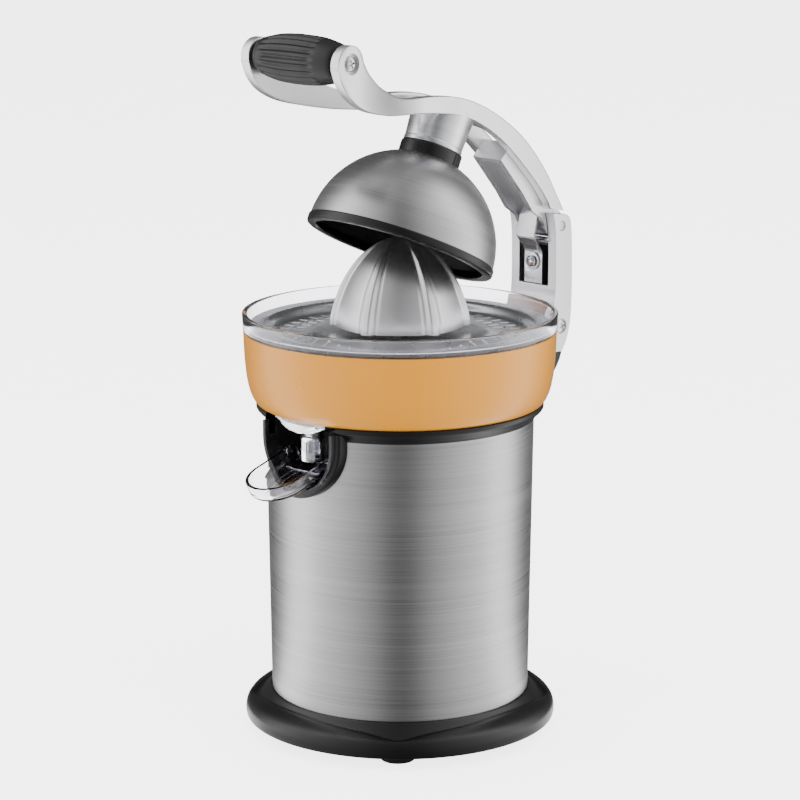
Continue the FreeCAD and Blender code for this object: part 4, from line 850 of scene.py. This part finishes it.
# drip spout
print("spout")
spoutSizes = {"half": 17.0, "bend": 22.6, "back": 5.0, "slope": 18.5, "pivotY": -64.0, "pivotZ": 156.0}
straight = np.linspace(spoutSizes["back"], -spoutSizes["bend"], 16)
tipTurn = np.linspace(0, math.pi, 48)[1:-1]
half, bend = spoutSizes["half"], spoutSizes["bend"]
outlineX = np.concatenate([np.full(16, half), half * np.cos(tipTurn), np.full(16, -half)])
outlineY = np.concatenate([straight, -bend - half * np.sin(tipTurn), straight[::-1]])
spineY = np.clip(outlineY, -bend, None)
# the section from rim to spine: share of the half width, and height
sectionOut = softLoop([(1.0, 1.9), (0.985, -3.0), (0.9, -6.2), (0.68, -7.0), (0.0, -7.0), (0.0, -5.3),
                       (0.66, -5.3), (0.81, -4.6), (0.88, -2.6), (0.895, 1.9)],
                      [0.03, 1.4, 1.4, 0.9, 0.0, 0.0, 0.6, 1.0, 1.0, 0.03])
share = np.clip(sectionOut[:, 0], 0, 1)
gridX = outlineX[:, None] * share
gridY = spineY[:, None] + (outlineY - spineY)[:, None] * share
gridZ = np.broadcast_to(sectionOut[:, 1], gridX.shape)
slope = math.radians(spoutSizes["slope"])


def tipped(x, y, z):
    # turned down about the pivot by the slope
    x, y, z = np.broadcast_arrays(x, y, z)
    return np.stack([x, spoutSizes["pivotY"] + y * math.cos(slope) - z * math.sin(slope),
                     spoutSizes["pivotZ"] + y * math.sin(slope) + z * math.cos(slope)], -1)


spoutGrid = tipped(gridX, gridY, gridZ)
points, quads = gridPart(spoutGrid, (False, True))
rows, cols = spoutGrid.shape[:2]
ends = [tuple(range(cols)), tuple(range(rows * cols - 1, (rows - 1) * cols - 1, -1))]
spout = buildMesh("dripSpout", [(points, [tuple(q) for q in quads] + ends)], 40)
settle(spout, "spout", clearPlastic, "drip_spout", "drip_spout")
# four low ridges along the floor, which fade at both ends, and a step across it
ridges = []
turn = np.linspace(0, 2 * math.pi, 12, endpoint=False)[None, :]
for x, start, end in ((-6.5, -8, -27), (-2.2, -8, -32), (2.2, -8, -32), (6.5, -8, -27)):
    along = np.linspace(start, end, 20)[:, None]
    fade = np.sqrt(np.clip(1 - ((along - (start + end) / 2) / ((start - end) / 2)) ** 2, 0, 1))
    ridge = tipped(x + 0.35 * fade * np.cos(turn), along, -5.25 + 0.5 * fade * np.sin(turn))
    ridges.append(cappedPart(ridge))
step = np.linspace(-12.2, 12.2, 24)[:, None]
ridges.append(cappedPart(tipped(step, -7.0 + 0.5 * np.cos(turn), -5.2 + 0.7 * np.sin(turn))))
settle(buildMesh("spoutRidges", ridges, 60), "spout", clearPlastic, "drip_spout")
pinShape = softLoop([(0, 15.4), (1.97, 15.4), (1.97, 24.2), (0, 24.2)], [0, 0.2, 0.3, 0])
pivot = (0, spoutSizes["pivotY"], spoutSizes["pivotZ"])
pivotPins = [lathePart(pinShape, 32, pivot, tilt) for tilt in (alongX, alongMinusX)]
settle(buildMesh("spoutPins", pivotPins, 40), "spout", clearPlastic, "drip_spout")


# finishes for the CAD nodes that stay
print("kept nodes")
keptFinish = {
    "bottom_cover": dullBlack, "bottom_screws": brightSteel, "mains_gland": softRubber, "top_deck": dullBlack,
    "shaft_seal": softRubber, "idler_pin": brightSteel, "motor_can": zincSheet, "motor_end_cap": zincSheet,
    "gear_case": dullBlack, "gear_case_cover": dullBlack, "shaft_bush": brassTurned, "support_posts": zincSheet,
    "return_spring": brightSteel, "start_switch": dullBlack, "switch_bracket": zincSheet,
    "bracket_screws": brightSteel, "column_liner": dullBlack, "hinge_block": satinAluminium,
    "grip_rod": brightSteel, "dome_bolt": brightSteel, "reamer_core": whiteNylon, "drive_shaft": brightSteel,
    "output_gear": whiteNylon, "idler_gear": whiteNylon, "press_slider": whiteNylon, "rotor_shaft": brightSteel,
    "armature": laminated, "motor_pinion": brassTurned}
for nodeName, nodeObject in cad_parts.items():
    if nodeName in shown:
        continue
    finish = keptFinish[nodeName]
    if not nodeObject.data.materials:
        nodeObject.data.materials.append(finish)
    for slotNumber in range(len(nodeObject.material_slots)):
        nodeObject.material_slots[slotNumber].material = finish


# studio: pale floor, soft lights, and a tent that only reflections see
print("studio")
studioSizes = {"floorGlow": 3.6, "sky": 1.0, "tentStrength": 2.9, "ceiling": 0.16}
floorFinish, floorTree, floorSurface = newFinish("PaperBackdropWhite", {
    "Base Color": linear("#F4F4F4"), "Roughness": 0.9,
    "Emission Color": (1, 1, 1, 1), "Emission Strength": studioSizes["floorGlow"]})
paper = addNode(floorTree, "ShaderNodeTexNoise", None, {
    "Vector": pattern(floorTree, (900, 900, 900)), "Scale": 1.0, "Detail": 2.0})
floorTree.links.new(addNode(floorTree, "ShaderNodeBump", None, {
    "Height": paper.outputs[0], "Strength": 0.1, "Distance": 0.0001}).outputs[0], floorSurface.inputs["Normal"])
floorMesh = bpy.data.meshes.new("floor")
floorMesh.from_pydata([(-30, -30, 0), (30, -30, 0), (30, 30, 0), (-30, 30, 0)], [], [(0, 1, 2, 3)])
floor = bpy.data.objects.new("floor", floorMesh)
floorMesh.materials.append(floorFinish)
bpy.context.scene.collection.objects.link(floor)
floor.visible_glossy = floor.visible_diffuse = False

world = bpy.data.worlds.new("studio")
bpy.context.scene.world = world
world.use_nodes = True
world.node_tree.nodes["Background"].inputs[0].default_value = (1.0, 1.0, 1.0, 1.0)
world.node_tree.nodes["Background"].inputs[1].default_value = studioSizes["sky"]
world.cycles_visibility.glossy = False

# the tent is a profile turned round the axis: a floor ring, a wall and a ceiling
tentProfile = np.array([(0.075, 0.0008), (0.16, 0.001), (0.30, 0.002), (0.32, 0.02), (0.32, 0.3),
                        (0.30, 0.52),
                        (0.22, 0.60), (0.10, 0.63), (0.0, 0.64)])
tentTurn = np.linspace(0, 2 * math.pi, 96, endpoint=False)[:, None]
tentGrid = np.stack([tentProfile[:, 0] * np.cos(tentTurn), tentProfile[:, 0] * np.sin(tentTurn),
                     np.broadcast_to(tentProfile[:, 1], (96, len(tentProfile)))], -1)
tentPoints, tentQuads = gridPart(tentGrid, (True, False))
tentMesh = bpy.data.meshes.new("tent")
tentMesh.from_pydata(tentPoints.tolist(), [], tentQuads.tolist())
tentFinish = bpy.data.materials.new("TentClothLit")
tentFinish.use_nodes = True
tentTree = tentFinish.node_tree
tentTree.nodes.clear()
tentPlace = addNode(tentTree, "ShaderNodeTexCoord")
tentAxes = addNode(tentTree, "ShaderNodeSeparateXYZ", None, {0: addNode(tentTree, "ShaderNodeMapping", None, {
    "Vector": tentPlace.outputs["Object"], "Rotation": (0, 0, -heading)}).outputs[0]})
tentSide = addNode(tentTree, "ShaderNodeMath", {"operation": "ABSOLUTE"}, {0: tentAxes.outputs[0]})
tentFront = addNode(tentTree, "ShaderNodeMath", {"operation": "MULTIPLY"}, {0: tentAxes.outputs[1], 1: -1.0})
tentAngle = addNode(tentTree, "ShaderNodeMath", {"operation": "ARCTAN2"}, {
    0: tentSide.outputs[0], 1: tentFront.outputs[0]})
tentShare = addNode(tentTree, "ShaderNodeMath", {"operation": "DIVIDE"}, {0: tentAngle.outputs[0], 1: math.pi})
tentRamp = addNode(tentTree, "ShaderNodeValToRGB", None, {0: tentShare.outputs[0]})
# brightness by the angle from the camera's side, as a share of half a turn
tentStops = [(0.0, 0.06), (0.05, 0.09), (0.12, 0.19), (0.2, 0.30), (0.3, 0.46), (0.38, 0.62), (0.43, 0.9),
             (0.5, 1.0), (0.55, 0.8), (0.62, 0.22), (0.72, 0.06), (1.0, 0.04)]
ramp = tentRamp.color_ramp
while len(ramp.elements) < len(tentStops):
    ramp.elements.new(0.5)
for element, (position, level) in zip(ramp.elements, tentStops):
    element.position, element.color = position, (level, level, level, 1)
# the ceiling is even and dimmer than the bright sides
tentCeiling = ramped(tentTree, tentAxes.outputs[2], 0.0, 1.0, 0.58, 0.635)
tentLevel = addNode(tentTree, "ShaderNodeMix", {"data_type": "FLOAT"}, {
    0: tentCeiling, 2: tentRamp.outputs[0], 3: studioSizes["ceiling"]})
tentGlow = addNode(tentTree, "ShaderNodeMath", {"operation": "MULTIPLY"}, {
    0: tentLevel.outputs[0], 1: studioSizes["tentStrength"]})
tentLight = addNode(tentTree, "ShaderNodeEmission", None, {"Strength": tentGlow.outputs[0]})
tentTree.links.new(tentLight.outputs[0], addNode(tentTree, "ShaderNodeOutputMaterial").inputs[0])
tentMesh.materials.append(tentFinish)
tent = bpy.data.objects.new("tent", tentMesh)
bpy.context.scene.collection.objects.link(tent)
tent.visible_camera = tent.visible_diffuse = tent.visible_shadow = tent.visible_transmission = False


def softbox(name, place, target, width, height, power):
    data = bpy.data.lights.new(name, "AREA")
    data.shape, data.size, data.size_y, data.energy = "RECTANGLE", width, height, power
    lamp = bpy.data.objects.new(name, data)
    lamp.location = place
    lamp.rotation_euler = (Vector(target) - Vector(place)).to_track_quat("-Z", "Y").to_euler()
    lamp.visible_glossy = False
    bpy.context.scene.collection.objects.link(lamp)


softbox("topBox", (0.1, 0.0, 2.2), (0, 0, 0.1), 2.6, 2.6, 36)
softbox("leftBox", (-0.9, -1.3, 0.7), (0, 0, 0.2), 0.9, 1.4, 9)
softbox("rightBox", (1.5, 0.2, 0.7), (0, 0, 0.2), 0.9, 1.4, 9)
